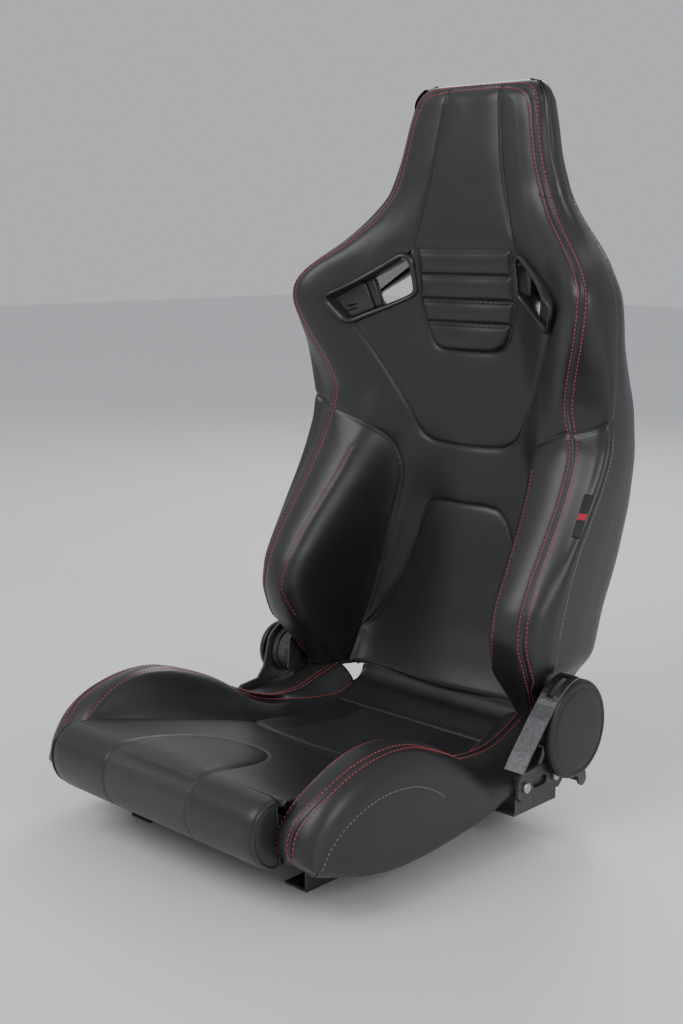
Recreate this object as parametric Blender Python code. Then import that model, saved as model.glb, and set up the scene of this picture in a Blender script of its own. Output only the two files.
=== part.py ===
"""Reclining racing seat with harness slots: steel frame, foam pads, recliners and release levers.

Frame: metres, +Z up, the seat faces -Y, +X is the occupant's left, floor at z = 0.
"""

import math

import bmesh
import bpy
import numpy as np

GAP = 0.0003

# Recliner axis, along X.
PIVOT = (0.0, 0.142, 0.130)

# Backrest: heights of the lofted stations and what each one measures, all against Z.
BACK_Z = [0.135, 0.160, 0.175, 0.200, 0.205, 0.245, 0.285, 0.330, 0.390, 0.445, 0.4697]
WING_Z = [0.4703, 0.500, 0.530, 0.570, 0.610, 0.640, 0.660, 0.682, 0.700, 0.7347]
HEAD_Z = [0.7353, 0.752, 0.771, 0.790, 0.808, 0.847, 0.897, 0.925, 0.9360]
HALF_WIDTH = ([0.135, 0.16, 0.175, 0.2, 0.205, 0.30, 0.45, 0.56, 0.65, 0.685, 0.70, 0.72, 0.745, 0.77,
               0.80, 0.85, 0.90, 0.93, 0.945, 0.955],
              [0.2225, 0.2232, 0.2235, 0.244, 0.250, 0.255, 0.262, 0.262, 0.263, 0.262, 0.255, 0.235, 0.205, 0.175,
               0.150, 0.128, 0.117, 0.108, 0.095, 0.060])
CENTRE_FRONT = ([0.10, 0.147, 0.20, 0.272, 0.37, 0.455, 0.59, 0.66, 0.727, 0.741, 0.85, 0.9365, 0.955],
                [0.182, 0.200, 0.215, 0.230, 0.241, 0.244, 0.247, 0.243, 0.234, 0.231, 0.239, 0.249, 0.262])
RIDGE_X = ([0.125, 0.147, 0.197, 0.2825, 0.4045, 0.476, 0.528, 0.570, 0.611, 0.652, 0.68, 0.703,
            0.7325, 0.771, 0.808, 0.847, 0.897, 0.929, 0.955],
           [0.200, 0.212, 0.232, 0.228, 0.224, 0.218, 0.205, 0.215, 0.232, 0.245, 0.245, 0.2305,
            0.195, 0.1500, 0.126, 0.113, 0.103, 0.092, 0.045])
RIDGE_Y = ([0.125, 0.147, 0.197, 0.2425, 0.2825, 0.321, 0.3625, 0.4045, 0.4445, 0.476, 0.528, 0.570,
            0.611, 0.652, 0.68, 0.703, 0.7325, 0.771, 0.808, 0.847, 0.897, 0.929, 0.955],
           [0.136, 0.124, 0.087, 0.071, 0.076, 0.097, 0.126, 0.155, 0.178, 0.192, 0.196, 0.183,
            0.166, 0.152, 0.153, 0.166, 0.199, 0.225, 0.238, 0.240, 0.2445, 0.252, 0.264])
PAD_SEAM = ([0.13, 0.20, 0.272, 0.365, 0.47, 0.49, 0.56, 0.62, 0.66, 0.735],
            [0.168, 0.150, 0.130, 0.102, 0.105, 0.105, 0.138, 0.172, 0.172, 0.150])
COVER_EDGE = ([0.135, 0.16, 0.175, 0.20, 0.205, 0.249, 0.311, 0.353, 0.423, 0.479, 0.557, 0.641, 0.70, 0.74,
               0.80, 0.94],
              [0.152, 0.130, 0.124, 0.118, 0.122, 0.126, 0.140, 0.156, 0.195, 0.216, 0.212, 0.200, 0.200, 0.232,
               0.2515, 0.2675])
HEAD_REAR = ([0.735, 0.771, 0.790, 0.808, 0.847, 0.897, 0.936],
             [0.2450, 0.2460, 0.2495, 0.2550, 0.2605, 0.2655, 0.2680])
REAR_CORNER = ([0.12, 0.175, 0.267, 0.33, 0.40, 0.47, 0.53, 0.57, 0.61, 0.66, 0.70, 0.74, 0.80, 0.94],
               [0.200, 0.210, 0.227, 0.254, 0.274, 0.280, 0.272, 0.254, 0.240, 0.234, 0.228, 0.256,
                0.276, 0.288])
REAR_CENTRE = ([0.12, 0.175, 0.267, 0.33, 0.45, 0.57, 0.66, 0.75, 0.85, 0.94],
               [0.258, 0.276, 0.310, 0.332, 0.352, 0.342, 0.322, 0.306, 0.300, 0.296])
SHELL_WALL = 0.004
FOAM_DEPTH = 0.035
FRAME_TUBE_RADIUS = 0.0095
FRAME_X = 0.2135

# Cushion: stations along Y.
CUSHION_FRONT = -0.2897
SIDE_Y = [-0.338, -0.315, -0.2903, -0.2897, -0.25, -0.225, -0.20, -0.165, -0.13, -0.09, -0.05, -0.01, 0.03,
          0.06, 0.09, 0.1247]
CUSHION_TOP = ([-0.352, -0.33, -0.25, -0.186, -0.10, -0.05, 0.0, 0.06, 0.13],
               [0.138, 0.142, 0.1345, 0.1225, 0.104, 0.093, 0.083, 0.0765, 0.0755])
SIDE_RIDGE_Z = ([-0.34, -0.315, -0.29, -0.25, -0.21, -0.17, -0.13, -0.09, -0.05, 0.0, 0.05, 0.09, 0.13],
                [0.104, 0.121, 0.142, 0.160, 0.173, 0.177, 0.174, 0.160, 0.141, 0.121, 0.105, 0.088, 0.082])
SIDE_BOTTOM_Z = ([-0.34, -0.277, -0.215, -0.153, -0.09, -0.029, 0.0285, 0.13],
                 [0.087, 0.060, 0.045, 0.038, 0.040, 0.047, 0.061, 0.063])
SIDE_FOOT_X = 0.150
SIDE_RIDGE_X = 0.228
SIDE_X = 0.250
PAN_Z = ([-0.30, -0.25, -0.20, -0.165, 0.12], [0.076, 0.060, 0.048, 0.0388, 0.0388])
PAN_SHEET = 0.0025
PAN_HALF_WIDTH = 0.2272
FLANGE_X = 0.2572
ROLL_HALF_WIDTH = 0.1880

# Mounting rails: M8 bolts, 290 mm across and 345 mm fore and aft.
BOLT_X, BOLT_FRONT_Y, BOLT_REAR_Y = 0.145, -0.2125, 0.1325
RAIL_TOP = 0.0385

# Harness slot: corners of the opening in the front view, for the +X side.
SLOT = [(0.0965, 0.7190), (0.0955, 0.6700), (0.1760, 0.6305), (0.1950, 0.6585)]
BEZEL_RIM = 0.009
BEZEL_SPLIT_Y = 0.2600

# Recliner stack, distances from the centre plane.
BRACKET_BACK_X = (0.2240, 0.2270)
DISC_MOVING_X = (0.2273, 0.2465)
DISC_FIXED_X = (0.2468, 0.2575)
BRACKET_BASE_X = (0.2578, 0.2618)
SPRING_X = (0.2622, 0.2650)
LEVER_ARM_X = (0.2655, 0.2685)
COVER_X = (0.2690, 0.2810)
LEVER_STRIP_X = (0.2505, 0.2790)


def at(table, value):
    """Linear reading of one (stations, values) table."""
    return float(np.interp(value, table[0], table[1]))


def clear_scene():
    for obj in list(bpy.data.objects):
        bpy.data.objects.remove(obj, do_unlink=True)


def surface(name, colour, roughness, metallic=0.0):
    material = bpy.data.materials.new(name)
    material.use_nodes = True
    shader = material.node_tree.nodes["Principled BSDF"]
    shader.inputs["Base Color"].default_value = (*colour, 1.0)
    shader.inputs["Roughness"].default_value = roughness
    shader.inputs["Metallic"].default_value = metallic
    return material


def solid(name, verts, faces, material, origin=(0.0, 0.0, 0.0), smooth_angle=35.0):
    """One closed object with its normals outward; origin is the point it turns about."""
    mesh = bpy.data.meshes.new(name)
    mesh.from_pydata([tuple(np.subtract(v, origin)) for v in verts], [], faces)
    work = bmesh.new()
    work.from_mesh(mesh)
    bmesh.ops.triangulate(work, faces=work.faces)
    bmesh.ops.recalc_face_normals(work, faces=work.faces)
    if work.calc_volume(signed=True) < 0:
        bmesh.ops.reverse_faces(work, faces=work.faces)
    work.to_mesh(mesh)
    work.free()
    mesh.shade_smooth()
    mesh.set_sharp_from_angle(angle=math.radians(smooth_angle))
    mesh.materials.append(material)
    obj = bpy.data.objects.new(name, mesh)
    obj.location = origin
    bpy.context.scene.collection.objects.link(obj)
    return obj


def loft(name, rings, material, origin=(0.0, 0.0, 0.0), closed=False, smooth_angle=35.0):
    """Joins rings of equal length, in order; the first and last become flat ends."""
    size = len(rings[0])
    verts = [point for ring in rings for point in ring]
    spans = len(rings) if closed else len(rings) - 1
    faces = []
    for i in range(spans):
        a, b = i * size, (i + 1) % len(rings) * size
        for j in range(size):
            k = (j + 1) % size
            faces.append((a + j, a + k, b + k, b + j))
    if not closed:
        faces.append(tuple(range(size - 1, -1, -1)))
        faces.append(tuple(range(len(verts) - size, len(verts))))
    return solid(name, verts, faces, material, origin, smooth_angle)


def side_plate(name, outline, x_pair, material, origin=(0.0, 0.0, 0.0)):
    """A flat plate with its outline in (y, z), between two distances along X."""
    return loft(name, [[(x, y, z) for y, z in outline] for x in x_pair], material, origin)


def turned(name, profile, centre, side, material, origin=(0.0, 0.0, 0.0), segments=20, bore=0.0):
    """A body turned about an X axis. profile is (x, radius) from inside to outside; bore leaves a hole."""
    cy, cz = centre

    def ring(x, radius):
        angles = [2 * math.pi * k / segments for k in range(segments)]
        return [(side * x, cy + radius * math.cos(a), cz + radius * math.sin(a)) for a in angles]

    rings = [ring(x, radius) for x, radius in profile]
    if bore:
        rings += [ring(profile[-1][0], bore), ring(profile[0][0], bore)]
    return loft(name, rings, material, origin, closed=bool(bore))


def swept(name, path, radius, sides, material, origin=(0.0, 0.0, 0.0)):
    """A round rod along a path, with square ends."""
    path = np.array(path, float)
    tangents = np.gradient(path, axis=0)
    tangents /= np.linalg.norm(tangents, axis=1)[:, None]
    across = np.cross(tangents[0], (0.0, 0.0, 1.0))
    if np.linalg.norm(across) < 0.1:
        across = np.cross(tangents[0], (1.0, 0.0, 0.0))
    rings = []
    for point, tangent in zip(path, tangents):
        across = across - tangent * np.dot(across, tangent)
        across /= np.linalg.norm(across)
        up = np.cross(tangent, across)
        angles = [2 * math.pi * k / sides for k in range(sides)]
        rings.append([tuple(point + radius * (math.cos(a) * across + math.sin(a) * up)) for a in angles])
    return loft(name, rings, material, origin, smooth_angle=60.0)


def rounded(corners, radius, steps=2):
    """Rounds each corner of a polygon with an arc of a few points."""
    count = len(corners)
    out = []
    for i in range(count):
        before, here, after = (np.array(corners[(i + k) % count], float) for k in (-1, 0, 1))
        u, v = before - here, after - here
        u, v = u / np.linalg.norm(u), v / np.linalg.norm(v)
        half = math.acos(float(np.clip(np.dot(u, v), -1, 1))) / 2
        reach = radius / math.tan(half)
        centre = here + (u + v) / np.linalg.norm(u + v) * radius / math.sin(half)
        start, end = here + u * reach - centre, here + v * reach - centre
        turn = math.atan2(start[0] * end[1] - start[1] * end[0], float(np.dot(start, end)))
        for k in range(steps + 1):
            a = turn * k / steps
            out.append((centre[0] + start[0] * math.cos(a) - start[1] * math.sin(a),
                        centre[1] + start[0] * math.sin(a) + start[1] * math.cos(a)))
    return out


def grown(corners, margin):
    """Moves every side of a convex polygon outward by a margin."""
    points = np.array(corners, float)
    middle = points.mean(axis=0)
    lines = []
    for i in range(len(points)):
        a, b = points[i], points[(i + 1) % len(points)]
        normal = np.array([b[1] - a[1], a[0] - b[0]]) / np.linalg.norm(b - a)
        if np.dot(normal, a - middle) < 0:
            normal = -normal
        lines.append((normal, np.dot(normal, a) + margin))
    out = []
    for i in range(len(points)):
        (n1, d1), (n2, d2) = lines[i - 1], lines[i]
        out.append(tuple(np.linalg.solve(np.array([n1, n2]), [d1, d2])))
    return out


def cutter(name, rings):
    obj = loft(name, rings, MATERIALS["steel"])
    obj.hide_render = True
    obj.display_type = "WIRE"
    return obj


def combine(target, tool, operation):
    modifier = target.modifiers.new(tool.name, "BOOLEAN")
    modifier.operation = operation
    modifier.solver = "EXACT"
    modifier.object = tool


def bore_x(name, centre, radius, x_pair, side, segments=12):
    cy, cz = centre
    angles = [2 * math.pi * k / segments for k in range(segments)]
    return cutter(name, [[(side * x, cy + radius * math.cos(a), cz + radius * math.sin(a)) for a in angles]
                         for x in x_pair])


# ---- backrest surfaces ----

def front_y(x, z):
    """The front face of the backrest: flat in the middle, rising forward to the ridge of each side."""
    x = abs(x)
    foot, ridge_x = at(PAD_SEAM, z) if z < 0.47 else 0.09, at(RIDGE_X, z)
    centre, ridge = at(CENTRE_FRONT, z), at(RIDGE_Y, z)
    foot = min(foot, ridge_x - 0.02)
    half = at(HALF_WIDTH, z)
    if x <= foot:
        return centre - 0.006 * (x / foot) ** 2
    if x <= ridge_x:
        t = (x - foot) / (ridge_x - foot)
        return (centre - 0.006) * (1 - t) + ridge * t - 0.010 * math.sin(math.pi * t)
    return ridge + 0.026 * min(1.0, (x - ridge_x) / max(half - ridge_x, 0.004)) ** 2


def rear_y(x, z):
    """The outer rear face of the backrest shell."""
    corner, centre = at(REAR_CORNER, z), at(REAR_CENTRE, z)
    half = max(at(HALF_WIDTH, z), 0.241) if z < 0.21 else at(HALF_WIDTH, z)
    return corner + (centre - corner) * (1 - min(1.0, abs(x) / half) ** 2.4)


def foam_rear_y(z):
    depth = 0.022 if z < 0.203 else FOAM_DEPTH if z < 0.66 else 0.030
    return at(CENTRE_FRONT, z) + depth


def tube_y(z):
    return at(REAR_CORNER, z) - SHELL_WALL - 0.002 - FRAME_TUBE_RADIUS


def side_pad_ring(side, z):
    """Section of a backrest bolster or shoulder wing: foam outside, a channel behind for the frame."""
    half, inner, ridge_x = at(HALF_WIDTH, z), at(PAD_SEAM, z) + GAP / 2, at(RIDGE_X, z)
    edge = at(COVER_EDGE, z) - GAP
    tube_front = tube_y(z) - FRAME_TUBE_RADIUS * 1.12 - GAP
    if z > 0.2:
        outer_rear = max(edge + 0.002, min(tube_front - 0.002, edge + 0.012))
    else:
        outer_rear = edge + 0.002
    tube_front = max(tube_front, outer_rear + 0.001)
    near, far = min(0.2005, half - 0.030), min(0.2232, half - 0.012)
    near_rear = max(min(foam_rear_y(z), rear_y(near, z) - 0.0125), tube_front + 0.001)
    core_rear = max(min(foam_rear_y(z), rear_y(inner, z) - 0.0125), near_rear)
    if z < 0.203:
        near_rear = core_rear = front_y(inner, z) + 0.012
    if z > 0.65:
        near_rear = core_rear = front_y(inner, z) + 0.016
        tube_front = front_y(near, z) + 0.014
        outer_rear = max(edge + 0.0008, front_y(far, z) + 0.012)
    front = [(x, front_y(x, z)) for x in (inner, inner * 0.66 + ridge_x * 0.34,
                                          inner * 0.33 + ridge_x * 0.67, ridge_x - 0.004)]
    shoulder = ridge_x * 0.45 + half * 0.55
    turn = min(front_y(half, z), edge - 0.003)
    flank = min(max(edge - 0.002, front_y(half, z) + 0.001), edge - 0.0005)
    outside = [(shoulder, front_y(shoulder, z)), (half, turn), (half, max(flank, turn + 0.0005))]
    inset = half - SHELL_WALL - 2 * GAP
    behind = [(inset, edge), (inset - 0.0002, outer_rear), (far, outer_rear + 0.0004),
              (far - 0.0004, tube_front), (near, tube_front + 0.0004), (near - 0.0004, near_rear),
              (inner, core_rear + 0.0004)]
    return [(side * x, y, z) for x, y in front + outside + behind]


def centre_pad_ring(z):
    half = at(PAD_SEAM, z) - GAP / 2
    spread = (-1, -0.75, -0.4, 0, 0.4, 0.75, 1)
    rear = foam_rear_y(z)
    return [(half * k, front_y(half * k, z), z) for k in spread] + [(half, rear, z), (-half, rear, z)]


def head_ring(z):
    """Section of the headrest: full width in front of the shell, narrower inside it."""
    half = at(HALF_WIDTH, z)
    spread = (-1, -0.86, -0.62, -0.3, 0, 0.3, 0.62, 0.86, 1)
    edge = at(COVER_EDGE, z) - 2 * GAP
    front = [(half * k, min(front_y(half * k, z), edge - 0.003), z) for k in spread]
    rear = at(HEAD_REAR, z)
    inside = half - SHELL_WALL - 4 * GAP
    return front + [(half, edge, z), (inside, edge + 0.0006, z), (inside, rear, z),
                    (-inside, rear, z), (-inside, edge + 0.0006, z), (-half, edge, z)]


def head_top_ring(z, scale, depth):
    half = at(HALF_WIDTH, 0.936) * scale
    front, rear = 0.249 + depth, 0.2955 - depth
    spread = (-1, -0.86, -0.62, -0.3, 0, 0.3, 0.62, 0.86, 1)
    ring = [(half * k, front + 0.006 * k * k, z) for k in spread]
    back = [(half, (front + rear) / 2 + 0.003, z), (half * 0.97, rear - 0.006, z), (half * 0.75, rear, z),
            (-half * 0.75, rear, z), (-half * 0.97, rear - 0.006, z), (-half, (front + rear) / 2 + 0.003, z)]
    return ring + back


def shell_ring(z, half, start):
    """U section of the rear shell, outside then inside."""
    corner = at(REAR_CORNER, z)
    spread = np.sin(np.linspace(-1, 1, 9) * math.pi / 2) * 0.985
    middle, turn = start * 0.5 + corner * 0.5, start * 0.25 + corner * 0.75
    outer = [(-half, start), (-half, middle), (-half, turn)]
    outer += [(half * k, rear_y(half * k, z)) for k in spread]
    outer += [(half, turn), (half, middle), (half, start)]
    thin = half - SHELL_WALL
    inner = []
    for x, y in reversed(outer):
        at_side = abs(abs(x) - half) < 1e-6
        inner.append((math.copysign(thin, x) if at_side else x * thin / half,
                      y if at_side else y - SHELL_WALL))
    return [(x, y, z) for x, y in outer + inner]


def make_back_pads():
    for label, side in (("left", 1), ("right", -1)):
        loft(f"back_bolster_{label}", [side_pad_ring(side, z) for z in BACK_Z], MATERIALS["leather"], PIVOT)
        wing = loft(f"shoulder_wing_{label}", [side_pad_ring(side, z) for z in WING_Z],
                    MATERIALS["leather"], PIVOT)
        combine(wing, SLOT_CUTTERS[label], "DIFFERENCE")
    loft("lumbar_pad", [centre_pad_ring(z) for z in [0.1203] + BACK_Z], MATERIALS["leather"], PIVOT)
    upper = loft("upper_back_pad", [centre_pad_ring(z) for z in WING_Z], MATERIALS["leather"], PIVOT)
    for label in ("left", "right"):
        combine(upper, SLOT_CUTTERS[label], "DIFFERENCE")
    rings = [head_ring(z) for z in HEAD_Z]
    rings += [head_top_ring(0.9366, 0.99, 0.0), head_top_ring(0.945, 0.92, 0.001),
              head_top_ring(0.951, 0.80, 0.004), head_top_ring(0.955, 0.60, 0.010)]
    loft("headrest_pad", rings, MATERIALS["leather"], PIVOT)


def make_back_shell():
    heights = BACK_Z[4:-1] + [0.47] + WING_Z[1:-1] + [0.735] + HEAD_Z[1:]
    rings = [shell_ring(z, at(HALF_WIDTH, z), at(COVER_EDGE, z)) for z in heights]
    shell = loft("back_shell", rings, MATERIALS["carbon_vinyl"], PIVOT)
    for label in ("left", "right"):
        combine(shell, SLOT_CUTTERS[label], "DIFFERENCE")
    rings = []
    for z in (0.1203, 0.150, 0.175, 0.1995):
        spread = np.linspace(-1, 1, 9) * 0.212
        outer = [(x, rear_y(x, z), z) for x in spread]
        rings.append(outer + [(x, y - 0.003, z) for x, y, z in reversed(outer)])
    loft("back_lower_flap", rings, MATERIALS["carbon_vinyl"], PIVOT)


def slot_ring(side, outline, y_of):
    return [(side * x, y_of(x, z), z) for x, z in outline]


def make_slot_cutters():
    outline = rounded(grown(SLOT, BEZEL_RIM + GAP), 0.0123)
    return {label: cutter(f"slot_cutter_{label}", [slot_ring(side, outline, lambda x, z, y=y: y)
                                                   for y in (0.10, 0.40)])
            for label, side in (("left", 1), ("right", -1))}


def make_bezels():
    """Front and rear halves of each harness tunnel: a rim round the opening and a sleeve behind it."""
    outline, opening = rounded(grown(SLOT, BEZEL_RIM), 0.012), rounded(SLOT, 0.005)
    flare = rounded(grown(SLOT, 0.002), 0.006)
    for label, side in (("left", 1), ("right", -1)):
        rings = [slot_ring(side, outline, lambda x, z: BEZEL_SPLIT_Y - GAP),
                 slot_ring(side, outline, lambda x, z: front_y(x, z) + 0.001),
                 slot_ring(side, rounded(grown(SLOT, BEZEL_RIM - 0.003), 0.010),
                           lambda x, z: front_y(x, z) - 0.004),
                 slot_ring(side, flare, lambda x, z: front_y(x, z) - 0.003),
                 slot_ring(side, opening, lambda x, z: front_y(x, z) + 0.005),
                 slot_ring(side, opening, lambda x, z: BEZEL_SPLIT_Y - GAP)]
        loft(f"harness_bezel_{label}", rings, MATERIALS["plastic"], PIVOT, closed=True)
        rings = [slot_ring(side, outline, lambda x, z: BEZEL_SPLIT_Y),
                 slot_ring(side, outline, lambda x, z: rear_y(x, z) + 0.002),
                 slot_ring(side, flare, lambda x, z: rear_y(x, z) + 0.004),
                 slot_ring(side, opening, lambda x, z: rear_y(x, z) + 0.001),
                 slot_ring(side, opening, lambda x, z: BEZEL_SPLIT_Y)]
        loft(f"harness_rear_bezel_{label}", rings, MATERIALS["plastic"], PIVOT, closed=True)


def make_back_frame():
    """Tubular hoop up both sides and over the head, a cross tube and zigzag springs."""
    heights = [0.152, 0.20, 0.245, 0.285, 0.330, 0.390, 0.445, 0.47, 0.50, 0.53, 0.57, 0.60]
    half = [(FRAME_X, tube_y(z), z) for z in heights]
    half += [(0.222, tube_y(0.63), 0.630), (0.2285, tube_y(0.655), 0.655), (0.2265, 0.224, 0.680),
             (0.211, 0.238, 0.705), (0.180, 0.2555, 0.731), (0.146, 0.2575, 0.753), (0.112, 0.262, 0.778),
             (0.087, 0.2685, 0.806), (0.075, 0.2735, 0.842), (0.072, 0.2765, 0.875), (0.064, 0.2785, 0.900),
             (0.044, 0.2785, 0.917), (0.018, 0.2785, 0.9205)]
    path = half + [(-x, y, z) for x, y, z in reversed(half)]
    swept("back_frame", path, FRAME_TUBE_RADIUS, 8, MATERIALS["painted_steel"], PIVOT)
    half = [(0.0, 0.256), (0.10, 0.250), (0.160, 0.2348), (0.180, 0.2262), (0.198, 0.2183), (0.2075, 0.2138),
            (0.2138, 0.2085)]
    path = [(-x, y, 0.160) for x, y in reversed(half)] + [(x, y, 0.160) for x, y in half[1:]]
    swept("back_cross_tube", path, 0.006, 8, MATERIALS["painted_steel"], PIVOT)
    for index, z in enumerate((0.245, 0.325, 0.405, 0.485)):
        hook = [(-0.2022, tube_y(z) + 0.003, z), (-0.2022, rear_y(0.2022, z) - 0.0090, z),
                (-0.190, min(foam_rear_y(z) + 0.0035, rear_y(0.19, z) - 0.0085), z)]
        path = list(hook)
        for k, x in enumerate(np.linspace(-0.150, 0.150, 12)):
            height = z + 0.013 * (1 if k % 2 else -1)
            path.append((x, foam_rear_y(height) + 0.0040, height))
        path += [(-x, y, height) for x, y, height in reversed(hook)]
        swept(f"back_spring_{index + 1}", path, 0.0011, 5, MATERIALS["spring_steel"], PIVOT)


# ---- cushion and base ----

def cushion_top(x, y):
    return at(CUSHION_TOP, y) - 0.004 * (abs(x) / SIDE_FOOT_X) ** 2


def side_cushion_ring(side, y):
    """Section of a cushion bolster, with the skirt that hangs outside the seat pan."""
    ridge, bottom = at(SIDE_RIDGE_Z, y), at(SIDE_BOTTOM_Z, y)
    floor = at(PAN_Z, y) + PAN_SHEET + 0.0006
    inner = SIDE_FOOT_X + GAP / 2 if y >= CUSHION_FRONT else ROLL_HALF_WIDTH + GAP
    foot = min(cushion_top(SIDE_FOOT_X, y), ridge - 0.003) if y >= CUSHION_FRONT else ridge - 0.012
    floor = floor if y >= CUSHION_FRONT else bottom + 0.002
    ridge_x = max(SIDE_RIDGE_X, inner + 0.012)
    bulge = foot * 0.45 + ridge * 0.55 + 0.004
    profile = [(inner, foot), (inner * 0.5 + ridge_x * 0.5, bulge), (ridge_x - 0.009, ridge - 0.002),
               (ridge_x, ridge), (ridge_x + 0.010, ridge - 0.004), (SIDE_X - 0.003, ridge - 0.018),
               (SIDE_X, max(ridge - 0.045, bottom + 0.012)), (SIDE_X - 0.001, bottom),
               (PAN_HALF_WIDTH + GAP, bottom + 0.0006), (PAN_HALF_WIDTH + GAP - 0.0002, floor),
               (inner, floor + 0.0002)]
    return [(side * x, y, z) for x, z in profile]


def make_cushions():
    stations = [y for y in SIDE_Y if y >= CUSHION_FRONT]
    half = SIDE_FOOT_X - GAP / 2
    spread = (-1, -0.7, -0.35, 0, 0.35, 0.7, 1)
    rings = []
    for y in stations:
        floor = at(PAN_Z, y) + PAN_SHEET + GAP
        rings.append([(half * k, y, cushion_top(half * k, y)) for k in spread]
                     + [(half, y, floor), (-half, y, floor)])
    loft("seat_cushion", rings, MATERIALS["leather"])
    for label, side in (("left", 1), ("right", -1)):
        loft(f"cushion_bolster_{label}", [side_cushion_ring(side, y) for y in SIDE_Y], MATERIALS["leather"])
    roll = [(-0.2903, 0.1390), (-0.3040, 0.1415), (-0.3210, 0.1380), (-0.3330, 0.1280), (-0.3390, 0.1140),
            (-0.3400, 0.0980), (-0.3350, 0.0810), (-0.3240, 0.0685), (-0.3100, 0.0625), (-0.2980, 0.0650),
            (-0.2903, 0.0720)]
    widths = ((1.0, 0.93), (0.985, 1.0), (0.5, 1.0), (-0.5, 1.0), (-0.985, 1.0), (-1.0, 0.93))
    middle = (-0.312, 0.102)
    rings = [[(ROLL_HALF_WIDTH * k, min(-0.2903, middle[0] + (y - middle[0]) * s), middle[1] + (z - middle[1]) * s)
              for y, z in roll] for k, s in widths]
    loft("knee_roll", rings, MATERIALS["leather"])


def make_lower_roll():
    """Roll along the foot of the backrest that closes the gap above the cushion."""
    section = [(0.1262, 0.0790), (0.1262, 0.0810), (0.137, 0.0862), (0.150, 0.0925), (0.162, 0.0975),
               (0.1695, 0.0988), (0.1790, 0.1010), (0.1900, 0.1110), (0.1950, 0.1200), (0.2070, 0.1200),
               (0.2030, 0.1030), (0.1850, 0.0930), (0.1640, 0.0800)]
    side_plate("back_lower_roll", section, (-0.134, 0.134), MATERIALS["leather"], PIVOT)


def make_pan():
    """Pressed seat pan with an opening for the springs and a flange for each recliner bracket."""
    rings = []
    for y, half, rise in ((-0.2885, PAN_HALF_WIDTH, 0.004), (-0.25, PAN_HALF_WIDTH, 0.004),
                          (-0.20, PAN_HALF_WIDTH, 0.004), (-0.165, PAN_HALF_WIDTH, 0.004),
                          (0.0340, PAN_HALF_WIDTH, 0.004), (0.0345, FLANGE_X, 0.004), (0.0360, FLANGE_X, 0.004),
                          (0.0365, FLANGE_X, 0.0512), (0.122, FLANGE_X, 0.0512)):
        low = at(PAN_Z, y)
        top, wall = low + (rise if half > PAN_HALF_WIDTH else PAN_SHEET), half - 0.0025
        floor = low + PAN_SHEET - (0.0002 if half == PAN_HALF_WIDTH else 0)
        rings.append([(-half, y, low), (half, y, low), (half, y, top), (wall, y, top), (wall - 0.0001, y, floor),
                      (-wall + 0.0001, y, floor), (-wall, y, top), (-half, y, top)])
    pan = loft("seat_pan", rings, MATERIALS["painted_steel"])
    opening = [(-0.14, -0.15), (0.14, -0.15), (0.14, 0.09), (-0.14, 0.09)]
    combine(pan, cutter("pan_opening_cutter", [[(x, y, z) for x, y in opening] for z in (0.03, 0.06)]),
            "DIFFERENCE")
    for label, side in (("left", 1), ("right", -1)):
        for index, (y, z) in enumerate(BASE_BOLTS):
            hole = bore_x(f"pan_hole_cutter_{label}_{index}", (y, z), 0.0041, (0.250, 0.260), side)
            combine(pan, hole, "DIFFERENCE")
    for index, x in enumerate((-0.105, -0.035, 0.035, 0.105)):
        path = [(x, -0.1490, 0.0400), (x, -0.1460, 0.0400)]
        path += [(x + 0.016 * (1 if k % 2 else -1), y, 0.0400) for k, y in enumerate(np.linspace(-0.13, 0.07, 12))]
        path += [(x, 0.0860, 0.0400), (x, 0.0890, 0.0400)]
        swept(f"cushion_spring_{index + 1}", path, 0.0011, 5, MATERIALS["spring_steel"])


def make_rails():
    for label, side in (("left", 1), ("right", -1)):
        section = [(0.127, 0.0), (0.163, 0.0), (0.163, RAIL_TOP - 0.003), (0.186, RAIL_TOP - 0.003),
                   (0.186, RAIL_TOP), (0.160, RAIL_TOP), (0.160, 0.003), (0.127, 0.003)]
        ends = (BOLT_FRONT_Y - 0.022, BOLT_REAR_Y + 0.022)
        rail = loft(f"mount_rail_{label}", [[(side * x, y, z) for x, z in section] for y in ends],
                    MATERIALS["painted_steel"])
        for index, y in enumerate((BOLT_FRONT_Y, BOLT_REAR_Y)):
            angles = [2 * math.pi * k / 20 for k in range(20)]
            hole = cutter(f"rail_hole_cutter_{label}_{index}",
                          [[(side * BOLT_X + 0.0045 * math.cos(a), y + 0.0045 * math.sin(a), z) for a in angles]
                           for z in (-0.01, 0.012)])
            combine(rail, hole, "DIFFERENCE")
    for name, y in (("front_cross_tube", -0.165), ("rear_cross_tube", 0.060)):
        swept(name, [(-0.1597, y, 0.0185), (0.0, y, 0.0185), (0.1597, y, 0.0185)], 0.010, 12,
              MATERIALS["painted_steel"])


# ---- recliners ----

BASE_BOLTS = [(0.050, 0.0745), (0.112, 0.0745)]
BACK_BOLTS = [(0.190, 0.210), (0.203, 0.268)]
ROD_OFFSET = (0.023, -0.075)


def arc(centre, radius, start, end, steps):
    angles = [math.radians(start + (end - start) * k / steps) for k in range(steps + 1)]
    return [(centre[0] + radius * math.cos(a), centre[1] + radius * math.sin(a)) for a in angles]


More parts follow.
